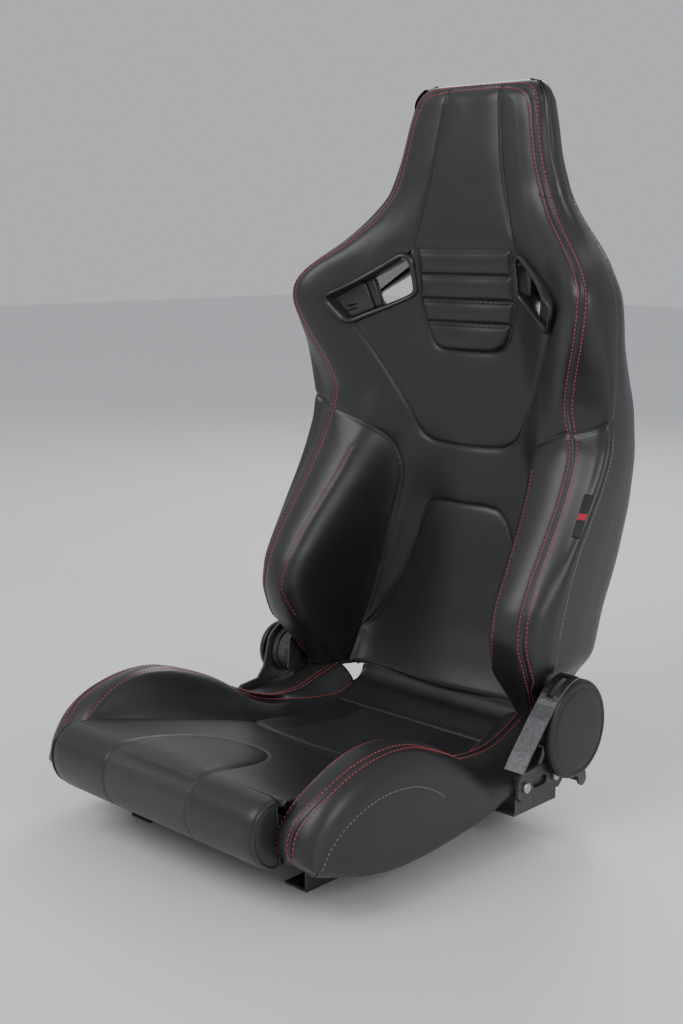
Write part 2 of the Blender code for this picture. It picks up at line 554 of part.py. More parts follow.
def make_recliner(label, side):
    py, pz = PIVOT[1:]
    steel, black = MATERIALS["steel"], MATERIALS["painted_steel"]

    def sides(pair):
        return tuple(side * x for x in pair)

    outline = arc((py, pz), 0.036, -150, 10, 10) + [(0.1840, 0.1700), (0.2010, 0.2000), (0.2205, 0.2900),
                                                  (0.2080, 0.3000), (0.1950, 0.2960), (0.1780, 0.2200),
                                                  (0.1480, 0.1900), (0.1150, 0.1560)]
    bracket = side_plate(f"back_bracket_{label}", outline, sides(BRACKET_BACK_X), black, PIVOT)
    combine(bracket, bore_x(f"back_axle_cutter_{label}", (py, pz), 0.0083, (0.220, 0.230), side), "DIFFERENCE")
    for index, place in enumerate(BACK_BOLTS):
        hole = bore_x(f"back_hole_cutter_{label}_{index}", place, 0.0041, (0.220, 0.230), side)
        combine(bracket, hole, "DIFFERENCE")
        inner, outer = BRACKET_BACK_X
        turned(f"back_bolt_{label}_{index + 1}",
               [(inner - 0.0001, 0.0038), (outer + GAP, 0.0038), (outer + GAP, 0.0065), (outer + 0.0046, 0.0065),
                (outer + 0.0052, 0.0058)], place, side, steel, PIVOT, segments=10)
    turned(f"recliner_moving_half_{label}",
           [(DISC_MOVING_X[0], 0.030), (DISC_MOVING_X[0] + 0.004, 0.033), (DISC_MOVING_X[1] - 0.001, 0.033),
            (DISC_MOVING_X[1], 0.032)], (py, pz), side, steel, PIVOT, bore=0.0083)
    turned(f"recliner_fixed_half_{label}",
           [(DISC_FIXED_X[0], 0.0345), (DISC_FIXED_X[0] + 0.001, 0.0355), (DISC_FIXED_X[1] - 0.003, 0.0355),
            (DISC_FIXED_X[1], 0.031)], (py, pz), side, steel, bore=0.0083)
    outline = arc((py, pz), 0.044, 148, -62, 14) + [(0.130, 0.0640), (0.122, 0.0560), (0.044, 0.0560),
                                                    (0.036, 0.0640), (0.038, 0.0850), (0.048, 0.0925),
                                                    (0.082, 0.0960), (0.094, 0.1120)]
    base = side_plate(f"base_bracket_{label}", outline, sides(BRACKET_BASE_X), black)
    combine(base, bore_x(f"base_axle_cutter_{label}", (py, pz), 0.0083, (0.250, 0.270), side), "DIFFERENCE")
    slot = arc((0.072, 0.0745), 0.0062, 90, 270, 8) + arc((0.089, 0.0745), 0.0062, -90, 90, 8)
    combine(base, cutter(f"base_slot_cutter_{label}", [[(side * x, y, z) for y, z in slot] for x in (0.25, 0.27)]),
            "DIFFERENCE")
    for index, place in enumerate(BASE_BOLTS):
        hole = bore_x(f"base_hole_cutter_{label}_{index}", place, 0.0041, (0.250, 0.270), side)
        combine(base, hole, "DIFFERENCE")
        outer = BRACKET_BASE_X[1]
        turned(f"base_bolt_{label}_{index + 1}",
               [(0.2520, 0.0034), (0.2524, 0.0038), (outer + GAP, 0.0038), (outer + GAP, 0.0068),
                (outer + 0.0042, 0.0068), (outer + 0.0049, 0.0058)], place, side, steel, segments=12)
    turned(f"pivot_bolt_{label}", [(0.2238, 0.0074), (0.2242, 0.0080), (0.2680, 0.0080), (0.2686, 0.0074)],
           (py, pz), side, steel, segments=20)
    make_return_spring(label, side)
    make_recliner_cover(label, side)


def make_lever(label, side):
    """Release lever: a hub arm inside the cover and a broad strip curving round it to the free end."""
    py, pz = PIVOT[1:]
    line = arc((py, pz), 0.0712, 96, 143, 8) + [(0.0700, 0.1585), (0.0540, 0.1405), (0.0385, 0.1235),
                                              (0.0275, 0.1100), (0.0225, 0.1030)]
    points = np.array(line)
    tangents = np.gradient(points, axis=0)
    tangents /= np.linalg.norm(tangents, axis=1)[:, None]
    normals = np.stack([-tangents[:, 1], tangents[:, 0]], 1) * 0.0014
    outline = list(map(tuple, points + normals)) + list(map(tuple, (points - normals)[::-1]))
    strip = side_plate(f"release_lever_{label}", outline, tuple(side * x for x in LEVER_STRIP_X),
                       MATERIALS["steel"], PIVOT)
    web = (arc((py, pz), 0.0716, 140, 160, 4) + arc((py, pz), 0.019, 175, 262, 5)
           + [(py + ROD_OFFSET[0] - 0.0085, pz + ROD_OFFSET[1] + 0.001)]
           + arc((py + ROD_OFFSET[0], pz + ROD_OFFSET[1]), 0.0085, 197, 377, 6)
           + arc((py, pz), 0.019, -30, 95, 7))
    arm = cutter(f"lever_arm_tool_{label}", [[(side * x, y, z) for y, z in web] for x in LEVER_ARM_X])
    combine(strip, arm, "UNION")
    combine(strip, bore_x(f"lever_bore_cutter_{label}", (py, pz), 0.0083, (0.262, 0.270), side), "DIFFERENCE")
    slot = arc((py, pz), 0.080, 102, 134, 5) + arc((py, pz), 0.062, 134, 102, 5)
    combine(strip, cutter(f"lever_slot_cutter_{label}",
                          [[(side * x, y, z) for y, z in slot] for x in (0.2600, 0.2695)]), "DIFFERENCE")


def make_crank(label, side):
    """Short arm that the rod turns to open the recliner on the side with no lever."""
    py, pz = PIVOT[1:]
    rod = (py + ROD_OFFSET[0], pz + ROD_OFFSET[1])
    outline = arc((py, pz), 0.019, -30, 262, 16) + [(rod[0] - 0.0085, rod[1] + 0.001)] + arc(rod, 0.0085, 197, 377, 6)
    crank = side_plate(f"sync_crank_{label}", outline, tuple(side * x for x in LEVER_ARM_X), MATERIALS["steel"], PIVOT)
    combine(crank, bore_x(f"crank_bore_cutter_{label}", (py, pz), 0.0083, (0.262, 0.270), side), "DIFFERENCE")


def make_return_spring(label, side):
    """Flat spiral spring round the hub, between the base bracket and the lever."""
    turns, steps = 2.5, 30
    line = []
    for k in range(steps + 1):
        a = 2 * math.pi * turns * k / steps
        line.append((0.0115 + 0.0155 * k / steps, a))
    py, pz = PIVOT[1:]
    rings = []
    for radius, a in line:
        ring = []
        for x, r in ((SPRING_X[0], radius), (SPRING_X[1], radius), (SPRING_X[1], radius + 0.0014),
                     (SPRING_X[0], radius + 0.0014)):
            ring.append((side * x, py + r * math.cos(a), pz + r * math.sin(a)))
        rings.append(ring)
    loft(f"lever_return_spring_{label}", rings, MATERIALS["spring_steel"])


def make_recliner_cover(label, side):
    """Cap over the recliner: a large one behind the lever strip, a small one on the side with no lever."""
    if side > 0:
        centre, radii = (0.1370, 0.1320), (0.0610, 0.0645)
    else:
        centre, radii = PIVOT[1:], (0.0400, 0.0400)

    def ring(x, scale):
        angles = [2 * math.pi * k / 24 for k in range(24)]
        return [(side * x, centre[0] + radii[0] * scale * math.cos(a), centre[1] + radii[1] * scale * math.sin(a))
                for a in angles]

    inner, outer = COVER_X
    profile = ((inner, 1.0), (inner + 0.005, 1.0), (inner + 0.0085, 0.975), (outer - 0.0015, 0.93),
               (outer - 0.0010, 0.88), (outer - 0.0022, 0.85), (outer - 0.0010, 0.80), (outer, 0.6))
    loft(f"recliner_cover_{label}", [ring(x, s) for x, s in profile], MATERIALS["plastic"])


def make_sync_rod():
    """Crank rod under the cushion that joins the lever to the crank of the other recliner."""
    y, z = PIVOT[1] + ROD_OFFSET[0], PIVOT[2] + ROD_OFFSET[1]
    reach = LEVER_ARM_X[0] - GAP
    swept("sync_rod", [(-reach, y, z), (0.0, y, z), (reach, y, z)], 0.0045, 12, MATERIALS["steel"], PIVOT)


def make_side_tag():
    """Plain woven tag sewn to the left flank of the cover, lying on the curve of the bolster."""
    rings = []
    for z in (0.374, 0.400, 0.426):
        half, ridge_x = at(HALF_WIDTH, z), at(RIDGE_X, z)
        shoulder = ridge_x * 0.45 + half * 0.55
        low_y = 0.147 + (z - 0.374) * 0.56
        depths = (low_y, low_y + 0.0045, low_y + 0.0090, low_y + 0.0135)
        skin = [float(np.interp(y, [front_y(ridge_x, z), front_y(shoulder, z), front_y(half, z)],
                                [ridge_x, shoulder, half])) for y in depths]
        outer = [(x + 0.0080, y, z) for x, y in zip(skin, depths)]
        inner = [(x + 0.0070, y, z) for x, y in zip(skin, depths)]
        rings.append(outer + inner[::-1])
    loft("side_tag_left", rings, MATERIALS["tag"], PIVOT)


MATERIALS = {}
SLOT_CUTTERS = {}


def main():
    clear_scene()
    MATERIALS.update(
        leather=surface("black_leatherette", (0.018, 0.018, 0.019), 0.42),
        carbon_vinyl=surface("carbon_weave_vinyl", (0.030, 0.030, 0.032), 0.38),
        plastic=surface("black_plastic", (0.012, 0.012, 0.012), 0.45),
        painted_steel=surface("black_painted_steel", (0.020, 0.020, 0.021), 0.40, 0.6),
        steel=surface("zinc_plated_steel", (0.55, 0.55, 0.56), 0.32, 1.0),
        spring_steel=surface("spring_steel", (0.22, 0.22, 0.23), 0.35, 1.0),
        tag=surface("woven_tag", (0.25, 0.02, 0.02), 0.8),
    )
    SLOT_CUTTERS.update(make_slot_cutters())
    make_back_pads()
    make_back_shell()
    make_lower_roll()
    make_bezels()
    make_back_frame()
    make_side_tag()
    make_rails()
    make_pan()
    make_cushions()
    make_recliner("left", 1)
    make_recliner("right", -1)
    make_lever("left", 1)
    make_crank("right", -1)
    make_sync_rod()


main()
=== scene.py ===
"""Looks of the reclining racing seat: stitched leatherette, weave-embossed vinyl, plastic and steel."""

import math

import bmesh
import bpy
import numpy as np
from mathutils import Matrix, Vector
from mathutils.bvhtree import BVHTree
from mathutils.kdtree import KDTree


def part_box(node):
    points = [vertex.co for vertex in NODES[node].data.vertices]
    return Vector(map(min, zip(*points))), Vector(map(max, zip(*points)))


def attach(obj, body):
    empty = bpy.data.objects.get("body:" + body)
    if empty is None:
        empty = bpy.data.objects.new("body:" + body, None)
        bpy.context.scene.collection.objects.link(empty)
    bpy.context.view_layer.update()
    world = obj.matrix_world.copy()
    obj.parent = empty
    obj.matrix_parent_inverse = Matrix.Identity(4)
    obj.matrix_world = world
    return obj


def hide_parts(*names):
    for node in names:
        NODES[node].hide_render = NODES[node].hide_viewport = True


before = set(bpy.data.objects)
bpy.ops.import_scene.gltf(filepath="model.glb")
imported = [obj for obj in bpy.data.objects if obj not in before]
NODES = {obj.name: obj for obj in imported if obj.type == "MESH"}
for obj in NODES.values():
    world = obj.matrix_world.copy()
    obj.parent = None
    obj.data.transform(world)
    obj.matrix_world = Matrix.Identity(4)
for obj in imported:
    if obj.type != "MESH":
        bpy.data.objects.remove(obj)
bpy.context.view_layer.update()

SIDES = (("left", 1), ("right", -1))
MIRROR = np.array([-1.0, 1.0, 1.0])

# ---- driving sizes of the upholstery, in metres ----

# Backrest sections against height Z: half width and the points that the section runs through.
HALF_WIDTH = ([0.135, 0.175, 0.205, 0.30, 0.45, 0.56, 0.64, 0.672, 0.695, 0.715, 0.74, 0.77, 0.80, 0.85,
               0.90, 0.94],
              [0.2225, 0.2235, 0.249, 0.255, 0.261, 0.261, 0.263, 0.262, 0.254, 0.238, 0.208, 0.176,
               0.150, 0.130, 0.119, 0.108])
CENTRE_Y = ([0.12, 0.147, 0.20, 0.272, 0.37, 0.455, 0.59, 0.66, 0.727, 0.741, 0.85, 0.94],
            [0.184, 0.197, 0.215, 0.230, 0.241, 0.244, 0.248, 0.244, 0.235, 0.232, 0.239, 0.250])
FOOT_X = ([0.12, 0.17, 0.20, 0.25, 0.33, 0.412, 0.48, 0.62, 0.70, 0.771, 0.808, 0.85, 0.93],
          [0.158, 0.162, 0.158, 0.148, 0.128, 0.118, 0.105, 0.092, 0.088, 0.070, 0.060, 0.055, 0.045])
FOOT_DROP = ([0.12, 0.25, 0.45, 0.62, 0.70, 0.80, 0.93], [0.000, 0.001, 0.000, 0.001, 0.002, 0.001, 0.001])
FACE_X = ([0.12, 0.15, 0.20, 0.25, 0.2875, 0.33, 0.373, 0.412, 0.446, 0.48, 0.53, 0.57, 0.62, 0.66, 0.70,
           0.735, 0.771, 0.808, 0.85, 0.90, 0.93],
          [0.168, 0.172, 0.184, 0.193, 0.191, 0.187, 0.179, 0.171, 0.166, 0.158, 0.150, 0.152, 0.165, 0.170,
           0.165, 0.145, 0.115, 0.095, 0.085, 0.078, 0.070])
FACE_Y = ([0.12, 0.15, 0.20, 0.25, 0.2875, 0.33, 0.373, 0.412, 0.446, 0.48, 0.53, 0.57, 0.62, 0.66, 0.70,
           0.735, 0.771, 0.808, 0.85, 0.90, 0.93],
          [0.165, 0.138, 0.086, 0.069, 0.080, 0.108, 0.140, 0.168, 0.186, 0.204, 0.219, 0.216, 0.2025, 0.197,
           0.202, 0.213, 0.2275, 0.2360, 0.2395, 0.2455, 0.2500])
RIDGE_X = ([0.125, 0.147, 0.197, 0.2825, 0.4045, 0.476, 0.528, 0.570, 0.611, 0.652, 0.68, 0.703, 0.7325,
            0.771, 0.808, 0.847, 0.897, 0.94],
           [0.204, 0.213, 0.231, 0.228, 0.2215, 0.216, 0.200, 0.213, 0.232, 0.2465, 0.2465, 0.2305, 0.190,
            0.1475, 0.1240, 0.111, 0.1005, 0.088])
RIDGE_Y = ([0.125, 0.147, 0.197, 0.2425, 0.2825, 0.321, 0.3625, 0.4045, 0.4445, 0.476, 0.528, 0.570, 0.611,
            0.652, 0.68, 0.703, 0.7325, 0.771, 0.808, 0.847, 0.897, 0.94],
           [0.140, 0.126, 0.088, 0.071, 0.077, 0.098, 0.127, 0.156, 0.180, 0.193, 0.197, 0.184, 0.167, 0.153,
            0.154, 0.167, 0.200, 0.225, 0.238, 0.240, 0.2450, 0.2540])
COVER_Y = ([0.135, 0.175, 0.205, 0.249, 0.311, 0.353, 0.423, 0.479, 0.557, 0.641, 0.70, 0.74, 0.80, 0.94],
           [0.156, 0.130, 0.122, 0.126, 0.140, 0.156, 0.195, 0.219, 0.2185, 0.213, 0.206, 0.240, 0.262, 0.276])
CORNER_Y = ([0.12, 0.175, 0.267, 0.33, 0.40, 0.47, 0.53, 0.57, 0.61, 0.66, 0.70, 0.74, 0.80, 0.94],
            [0.200, 0.210, 0.228, 0.254, 0.274, 0.281, 0.274, 0.258, 0.244, 0.238, 0.232, 0.258, 0.278, 0.290])
REAR_Y = ([0.12, 0.175, 0.267, 0.33, 0.45, 0.57, 0.66, 0.75, 0.85, 0.94],
          [0.260, 0.278, 0.312, 0.333, 0.352, 0.343, 0.324, 0.308, 0.302, 0.298])
BACK_LOW, BACK_HIGH, HEAD_TOP = 0.124, 0.922, 0.951
# The head's rear falls by this much per metre; its crown and the back's foot turn in by these insets.
HEAD_FALL = 0.45
CROWN_INSET, CROWN_SIDES, FOOT_RADIUS = 0.0265, 1.15, 0.004
ROW_STEP = 0.0025
ROW_GAP = 0.0100
THREAD_PITCH, THREAD_LENGTH, THREAD_RADIUS = 0.0058, 0.0044, 0.00065

# Harness opening, the same corners as the CAD part.
SLOT = [(0.0965, 0.7190), (0.0955, 0.6700), (0.1760, 0.6305), (0.1950, 0.6585)]
RIM, CORNER, SLEEVE, HOLE_MARGIN = 0.009, 0.006, 0.0028, 0.0045


# ---- small tools ----

def reading(table, width=0.009):
    """A smooth reading of a (stations, values) table: straight lines blurred by a bell of this width."""
    stations, values = np.array(table[0]), np.array(table[1])
    grid = np.linspace(stations[0] - 0.05, stations[-1] + 0.05, 1200)
    raw = np.interp(grid, stations, values)
    low_slope = (values[1] - values[0]) / (stations[1] - stations[0])
    high_slope = (values[-1] - values[-2]) / (stations[-1] - stations[-2])
    raw = np.where(grid < stations[0], values[0] + (grid - stations[0]) * low_slope, raw)
    raw = np.where(grid > stations[-1], values[-1] + (grid - stations[-1]) * high_slope, raw)
    step = grid[1] - grid[0]
    reach = int(4 * width / step) + 1
    bell = np.exp(-0.5 * (np.arange(-reach, reach + 1) * step / width) ** 2)
    padded = np.concatenate([np.full(reach, raw[0]), raw, np.full(reach, raw[-1])])
    smooth = np.convolve(padded, bell / bell.sum(), mode="valid")
    return lambda value: np.interp(value, grid, smooth)


def flowing(points, counts, start, end):
    """Samples a smooth curve through control points of shape (rows, controls, axes), row by row.

    counts gives the samples of each span; start and end are the ghost points before and after.
    """
    full = np.concatenate([start[:, None], points, end[:, None]], axis=1)
    gaps = np.linalg.norm(np.diff(full, axis=1), axis=2) ** 0.75 + 1e-9
    before, after = gaps[:, :-1, None], gaps[:, 1:, None]
    rise_before = (full[:, 1:-1] - full[:, :-2]) / before
    rise_after = (full[:, 2:] - full[:, 1:-1]) / after
    slopes = (rise_before * after + rise_after * before) / (before + after)
    out = []
    for i, count in enumerate(counts):
        t = (np.arange(count) / count)[None, :, None]
        span = gaps[:, i + 1, None, None]
        a, b = points[:, i, None], points[:, i + 1, None]
        m0, m1 = slopes[:, i, None] * span, slopes[:, i + 1, None] * span
        out.append(a * (2 * t ** 3 - 3 * t ** 2 + 1) + m0 * (t ** 3 - 2 * t ** 2 + t)
                   + b * (3 * t ** 2 - 2 * t ** 3) + m1 * (t ** 3 - t ** 2))
    out.append(points[:, -1:])
    return np.concatenate(out, axis=1)


def mesh_object(name, verts, faces, material):
    mesh = bpy.data.meshes.new(name)
    mesh.from_pydata(np.asarray(verts).tolist(), [], [list(map(int, f)) for f in faces])
    mesh.validate()
    mesh.shade_smooth()
    mesh.materials.append(material)
    obj = bpy.data.objects.new(name, mesh)
    bpy.context.scene.collection.objects.link(obj)
    return obj


def outward(obj):
    """Turns the faces of a closed mesh outward."""
    work = bmesh.new()
    work.from_mesh(obj.data)
    bmesh.ops.remove_doubles(work, verts=work.verts, dist=1e-5)
    bmesh.ops.recalc_face_normals(work, faces=work.faces)
    if work.calc_volume(signed=True) < 0:
        bmesh.ops.reverse_faces(work, faces=work.faces)
    work.to_mesh(obj.data)
    work.free()
    return obj


def grid_faces(rows, columns, closed):
    faces = []
    spans = columns if closed else columns - 1
    for i in range(rows - 1):
        for j in range(spans):
            k = (j + 1) % columns
            faces.append((i * columns + j, i * columns + k, (i + 1) * columns + k, (i + 1) * columns + j))
    return faces


def ring_solid(name, rings, material, closed=False):
    """Joins rings of equal length into one solid; closed joins the last ring to the first."""
    size, count = len(rings[0]), len(rings)
    verts = [p for ring in rings for p in ring]
    faces = grid_faces(count, size, True)
    if closed:
        last = (count - 1) * size
        faces += [(last + j, last + (j + 1) % size, (j + 1) % size, j) for j in range(size)]
    else:
        faces += [tuple(range(size))[::-1], tuple(range((count - 1) * size, count * size))]
    return outward(mesh_object(name, verts, faces, material))


def add_bevel(obj, width):
    modifier = obj.modifiers.new("edge", "BEVEL")
    modifier.width = width
    modifier.segments = 2
    modifier.limit_method = "ANGLE"
    modifier.angle_limit = math.radians(40)
    modifier.harden_normals = True


def resampled(points, step):
    """The same polyline with points at equal distances."""
    points = np.asarray(points, float)
    lengths = np.concatenate([[0], np.cumsum(np.linalg.norm(np.diff(points, axis=0), axis=1))])
    count = max(2, int(round(lengths[-1] / step)) + 1)
    at = np.linspace(0, lengths[-1], count)
    return np.stack([np.interp(at, lengths, points[:, k]) for k in range(points.shape[1])], axis=1)


def smooth_line(points, step=0.002):
    """A smooth curve through a few given points."""
    points = np.asarray(points, float)
    ends = 2 * points[0] - points[1], 2 * points[-1] - points[-2]
    dense = flowing(points[None], [12] * (len(points) - 1), ends[0][None], ends[1][None])[0]
    return resampled(dense, step)


def surface_tree(obj):
    mesh = obj.data
    return BVHTree.FromPolygons([v.co[:] for v in mesh.vertices], [p.vertices[:] for p in mesh.polygons])


def grid_tree(grid, closed):
    rows, columns = grid.shape[:2]
    return BVHTree.FromPolygons(grid.reshape(-1, 3).tolist(), grid_faces(rows, columns, closed))


def cast(tree, starts, way):
    """Where rays from these points first meet a surface; those that miss are left out."""
    hits = (tree.ray_cast(Vector(start), Vector(way))[0] for start in starts)
    return np.array([tuple(hit) for hit in hits if hit is not None])


def mirrored(points):
    return np.asarray(points) * MIRROR


# ---- materials ----

def new_material(name, colour, roughness, metallic=0.0):
    material = bpy.data.materials.new(name)
    material.use_nodes = True
    shader = material.node_tree.nodes["Principled BSDF"]
    shader.inputs["Base Color"].default_value = (*colour, 1)
    shader.inputs["Roughness"].default_value = roughness
    shader.inputs["Metallic"].default_value = metallic
    return material, material.node_tree, shader


def node(tree, kind, inputs=(), **settings):
    """Adds a node; inputs maps a socket's name or index to a value or to another node's output."""
    new = tree.nodes.new(kind)
    for key, value in settings.items():
        setattr(new, key, value)
    for key, value in dict(inputs).items():
        if isinstance(value, bpy.types.NodeSocket):
            tree.links.new(value, new.inputs[key])
        else:
            new.inputs[key].default_value = value
    return new


def maths(tree, operation, a, b=0.0, c=None):
    values = {0: a, 1: b}
    if c is not None:
        values[2] = c
    return node(tree, "ShaderNodeMath", values, operation=operation).outputs[0]


def object_place(tree):
    return node(tree, "ShaderNodeTexCoord").outputs["Object"]


def noise(tree, place, scale, detail=3.0):
    return node(tree, "ShaderNodeTexNoise", {"Vector": place, "Scale": scale, "Detail": detail}).outputs["Fac"]


def spread(tree, value, low, high):
    """Maps 0..1 to low..high."""
    return node(tree, "ShaderNodeMapRange", {"Value": value, "To Min": low, "To Max": high}).outputs["Result"]


def tint(tree, value, dark, light):
    mix = node(tree, "ShaderNodeMix", {"Factor": value}, data_type="RGBA")
    mix.inputs[6].default_value = (*dark, 1)
    mix.inputs[7].default_value = (*light, 1)
    return mix.outputs[2]


def bump(tree, height, strength, distance, under=None):
    values = {"Height": height, "Strength": strength, "Distance": distance}
    if under is not None:
        values["Normal"] = under
    return node(tree, "ShaderNodeBump", values).outputs["Normal"]


def leather_height(tree, place):
    """Pebble grain: rounded cells a millimetre across with fine creases between them."""
    cells = node(tree, "ShaderNodeTexVoronoi", {"Vector": place, "Scale": 780.0}, feature="SMOOTH_F1")
    pores = noise(tree, place, 1500.0, 2.0)
    return maths(tree, "MULTIPLY_ADD", cells.outputs["Distance"], 0.8, maths(tree, "MULTIPLY", pores, 0.35))


def leather_material():
    colour, roughness = (0.0165, 0.0165, 0.0175), 0.40
    material, tree, shader = new_material("black_leatherette", colour, roughness)
    place = object_place(tree)
    grain = leather_height(tree, place)
    cloud = noise(tree, place, 9.0, 4.0)
    handled = noise(tree, place, 45.0, 3.0)
    shades = tint(tree, cloud, [0.82 * c for c in colour], [1.22 * c for c in colour])
    tree.links.new(shades, shader.inputs["Base Color"])
    worn = spread(tree, handled, roughness + 0.02, roughness + 0.12)
    gloss = maths(tree, "MULTIPLY_ADD", grain, -0.10, worn)
    tree.links.new(gloss, shader.inputs["Roughness"])
    tree.links.new(bump(tree, grain, 0.22, 0.0005), shader.inputs["Normal"])
    shader.inputs["Specular IOR Level"].default_value = 0.5
    shader.inputs["Coat Weight"].default_value = 0.10
    shader.inputs["Coat Roughness"].default_value = 0.28
    return material


WEAVE_PITCH = 0.0013
WEAVE_SHADES = ((0.010, 0.010, 0.011), (0.038, 0.038, 0.040))
WEAVE_GLOSS = (0.30, 0.46)


def weave_nodes(tree):
    """Two-by-two twill read from the piece's UV map, in metres: (height, lightness)."""
    uv = node(tree, "ShaderNodeUVMap", uv_map="cloth").outputs["UV"]
    parts = node(tree, "ShaderNodeSeparateXYZ", {0: uv})
    u, v = (maths(tree, "DIVIDE", parts.outputs[k], WEAVE_PITCH) for k in (0, 1))
    across, along = (maths(tree, "FLOOR", value) for value in (u, v))
    step = maths(tree, "FLOORED_MODULO", maths(tree, "SUBTRACT", across, along), 4.0)
    over = maths(tree, "LESS_THAN", step, 1.5)
    wave_u = maths(tree, "ABSOLUTE", maths(tree, "SINE", maths(tree, "MULTIPLY", u, math.pi)))
    wave_v = maths(tree, "ABSOLUTE", maths(tree, "SINE", maths(tree, "MULTIPLY", v, math.pi)))
    mix = node(tree, "ShaderNodeMix", {0: over, 2: wave_u, 3: wave_v}, data_type="FLOAT")
    return mix.outputs[0], over


def carbon_material():
    material, tree, shader = new_material("carbon_weave_vinyl", (0.02, 0.02, 0.021), 0.34)
    height, over = weave_nodes(tree)
    tree.links.new(tint(tree, over, *WEAVE_SHADES), shader.inputs["Base Color"])
    tree.links.new(spread(tree, over, *WEAVE_GLOSS), shader.inputs["Roughness"])
    tree.links.new(bump(tree, height, 0.55, 0.0006), shader.inputs["Normal"])
    shader.inputs["Coat Weight"].default_value = 0.20
    shader.inputs["Coat Roughness"].default_value = 0.22
    return material


def mixed_material(name, mask):
    """Leatherette outside and weave inside an outline that the mesh carries as a signed distance."""
    material, tree, shader = new_material(name, (0.02, 0.02, 0.021), 0.4)
    place = object_place(tree)
    grain = leather_height(tree, place)
    height, over = weave_nodes(tree)
    distance = node(tree, "ShaderNodeAttribute", attribute_name=mask).outputs["Fac"]
    inside = maths(tree, "LESS_THAN", distance, 0.0)
    cloud = noise(tree, place, 9.0, 4.0)
    leather = tint(tree, cloud, (0.0135, 0.0135, 0.0145), (0.020, 0.020, 0.021))
    weave = tint(tree, over, *WEAVE_SHADES)
    colour = node(tree, "ShaderNodeMix", {0: inside, 6: leather, 7: weave}, data_type="RGBA").outputs[2]
    tree.links.new(colour, shader.inputs["Base Color"])
    leather_gloss, weave_gloss = spread(tree, cloud, 0.40, 0.50), spread(tree, over, *WEAVE_GLOSS)
    gloss = node(tree, "ShaderNodeMix", {0: inside, 2: leather_gloss, 3: weave_gloss},
                 data_type="FLOAT").outputs[0]
    tree.links.new(gloss, shader.inputs["Roughness"])
    relief = node(tree, "ShaderNodeMix", {0: inside, 2: maths(tree, "MULTIPLY", grain, 0.40), 3: height},
                  data_type="FLOAT").outputs[0]
    tree.links.new(bump(tree, relief, 0.55, 0.0006), shader.inputs["Normal"])
    shader.inputs["Coat Weight"].default_value = 0.12
    shader.inputs["Coat Roughness"].default_value = 0.26
    return material


def thread_material(name, colour):
    material, tree, shader = new_material(name, colour, 0.62)
    place = object_place(tree)
    twist = node(tree, "ShaderNodeTexWave", {"Vector": place, "Scale": 900.0, "Distortion": 2.0})
    shades = tint(tree, noise(tree, place, 160.0), [0.72 * c for c in colour], [1.25 * c for c in colour])
    tree.links.new(shades, shader.inputs["Base Color"])
    tree.links.new(bump(tree, twist.outputs["Fac"], 0.5, 0.0003), shader.inputs["Normal"])
    shader.inputs["Sheen Weight"].default_value = 0.35
    return material


def plastic_material(name="black_plastic", colour=(0.013, 0.013, 0.0135), roughness=0.40):
    material, tree, shader = new_material(name, colour, roughness)
    place = object_place(tree)
    fine = noise(tree, place, 1400.0, 2.0)
    cloud = noise(tree, place, 30.0)
    tree.links.new(tint(tree, cloud, [0.9 * c for c in colour], [1.15 * c for c in colour]),
                   shader.inputs["Base Color"])
    tree.links.new(spread(tree, cloud, roughness - 0.04, roughness + 0.06), shader.inputs["Roughness"])
    tree.links.new(bump(tree, fine, 0.16, 0.0003), shader.inputs["Normal"])
    return material


def metal_material(name, colour, roughness, metallic, worn):
    """Plated or painted steel: fine orange peel, brighter where edges rub."""
    material, tree, shader = new_material(name, colour, roughness, metallic)
    place = object_place(tree)
    edges = node(tree, "ShaderNodeNewGeometry").outputs["Pointiness"]
    rubbed = node(tree, "ShaderNodeMapRange", {"Value": edges, "From Min": 0.54, "From Max": 0.62})
    patchy = maths(tree, "MULTIPLY", rubbed.outputs["Result"], noise(tree, place, 220.0))
    tree.links.new(tint(tree, patchy, colour, worn), shader.inputs["Base Color"])
    drawn_out = node(tree, "ShaderNodeMapping", {"Vector": place, "Scale": (1.0, 1.0, 18.0)}).outputs[0]
    brushed = noise(tree, drawn_out, 120.0)
    tree.links.new(spread(tree, brushed, roughness - 0.06, roughness + 0.10), shader.inputs["Roughness"])
    tree.links.new(bump(tree, noise(tree, place, 900.0), 0.10, 0.0003), shader.inputs["Normal"])
    return material


def tag_material():
    """Plain woven tag: near-black ground with one short red block, no wording."""
    material, tree, shader = new_material("woven_tag", (0.012, 0.012, 0.0125), 0.62)
    place = node(tree, "ShaderNodeTexCoord").outputs["Generated"]
    height = node(tree, "ShaderNodeSeparateXYZ", {0: place}).outputs[2]
    band = maths(tree, "LESS_THAN", maths(tree, "ABSOLUTE", maths(tree, "SUBTRACT", height, 0.5)), 0.07)
    tree.links.new(tint(tree, band, (0.012, 0.012, 0.0125), (0.42, 0.015, 0.03)), shader.inputs["Base Color"])
    threads = node(tree, "ShaderNodeTexWave", {"Vector": object_place(tree), "Scale": 600.0})
    tree.links.new(bump(tree, threads.outputs["Fac"], 0.5, 0.0003), shader.inputs["Normal"])
    return material


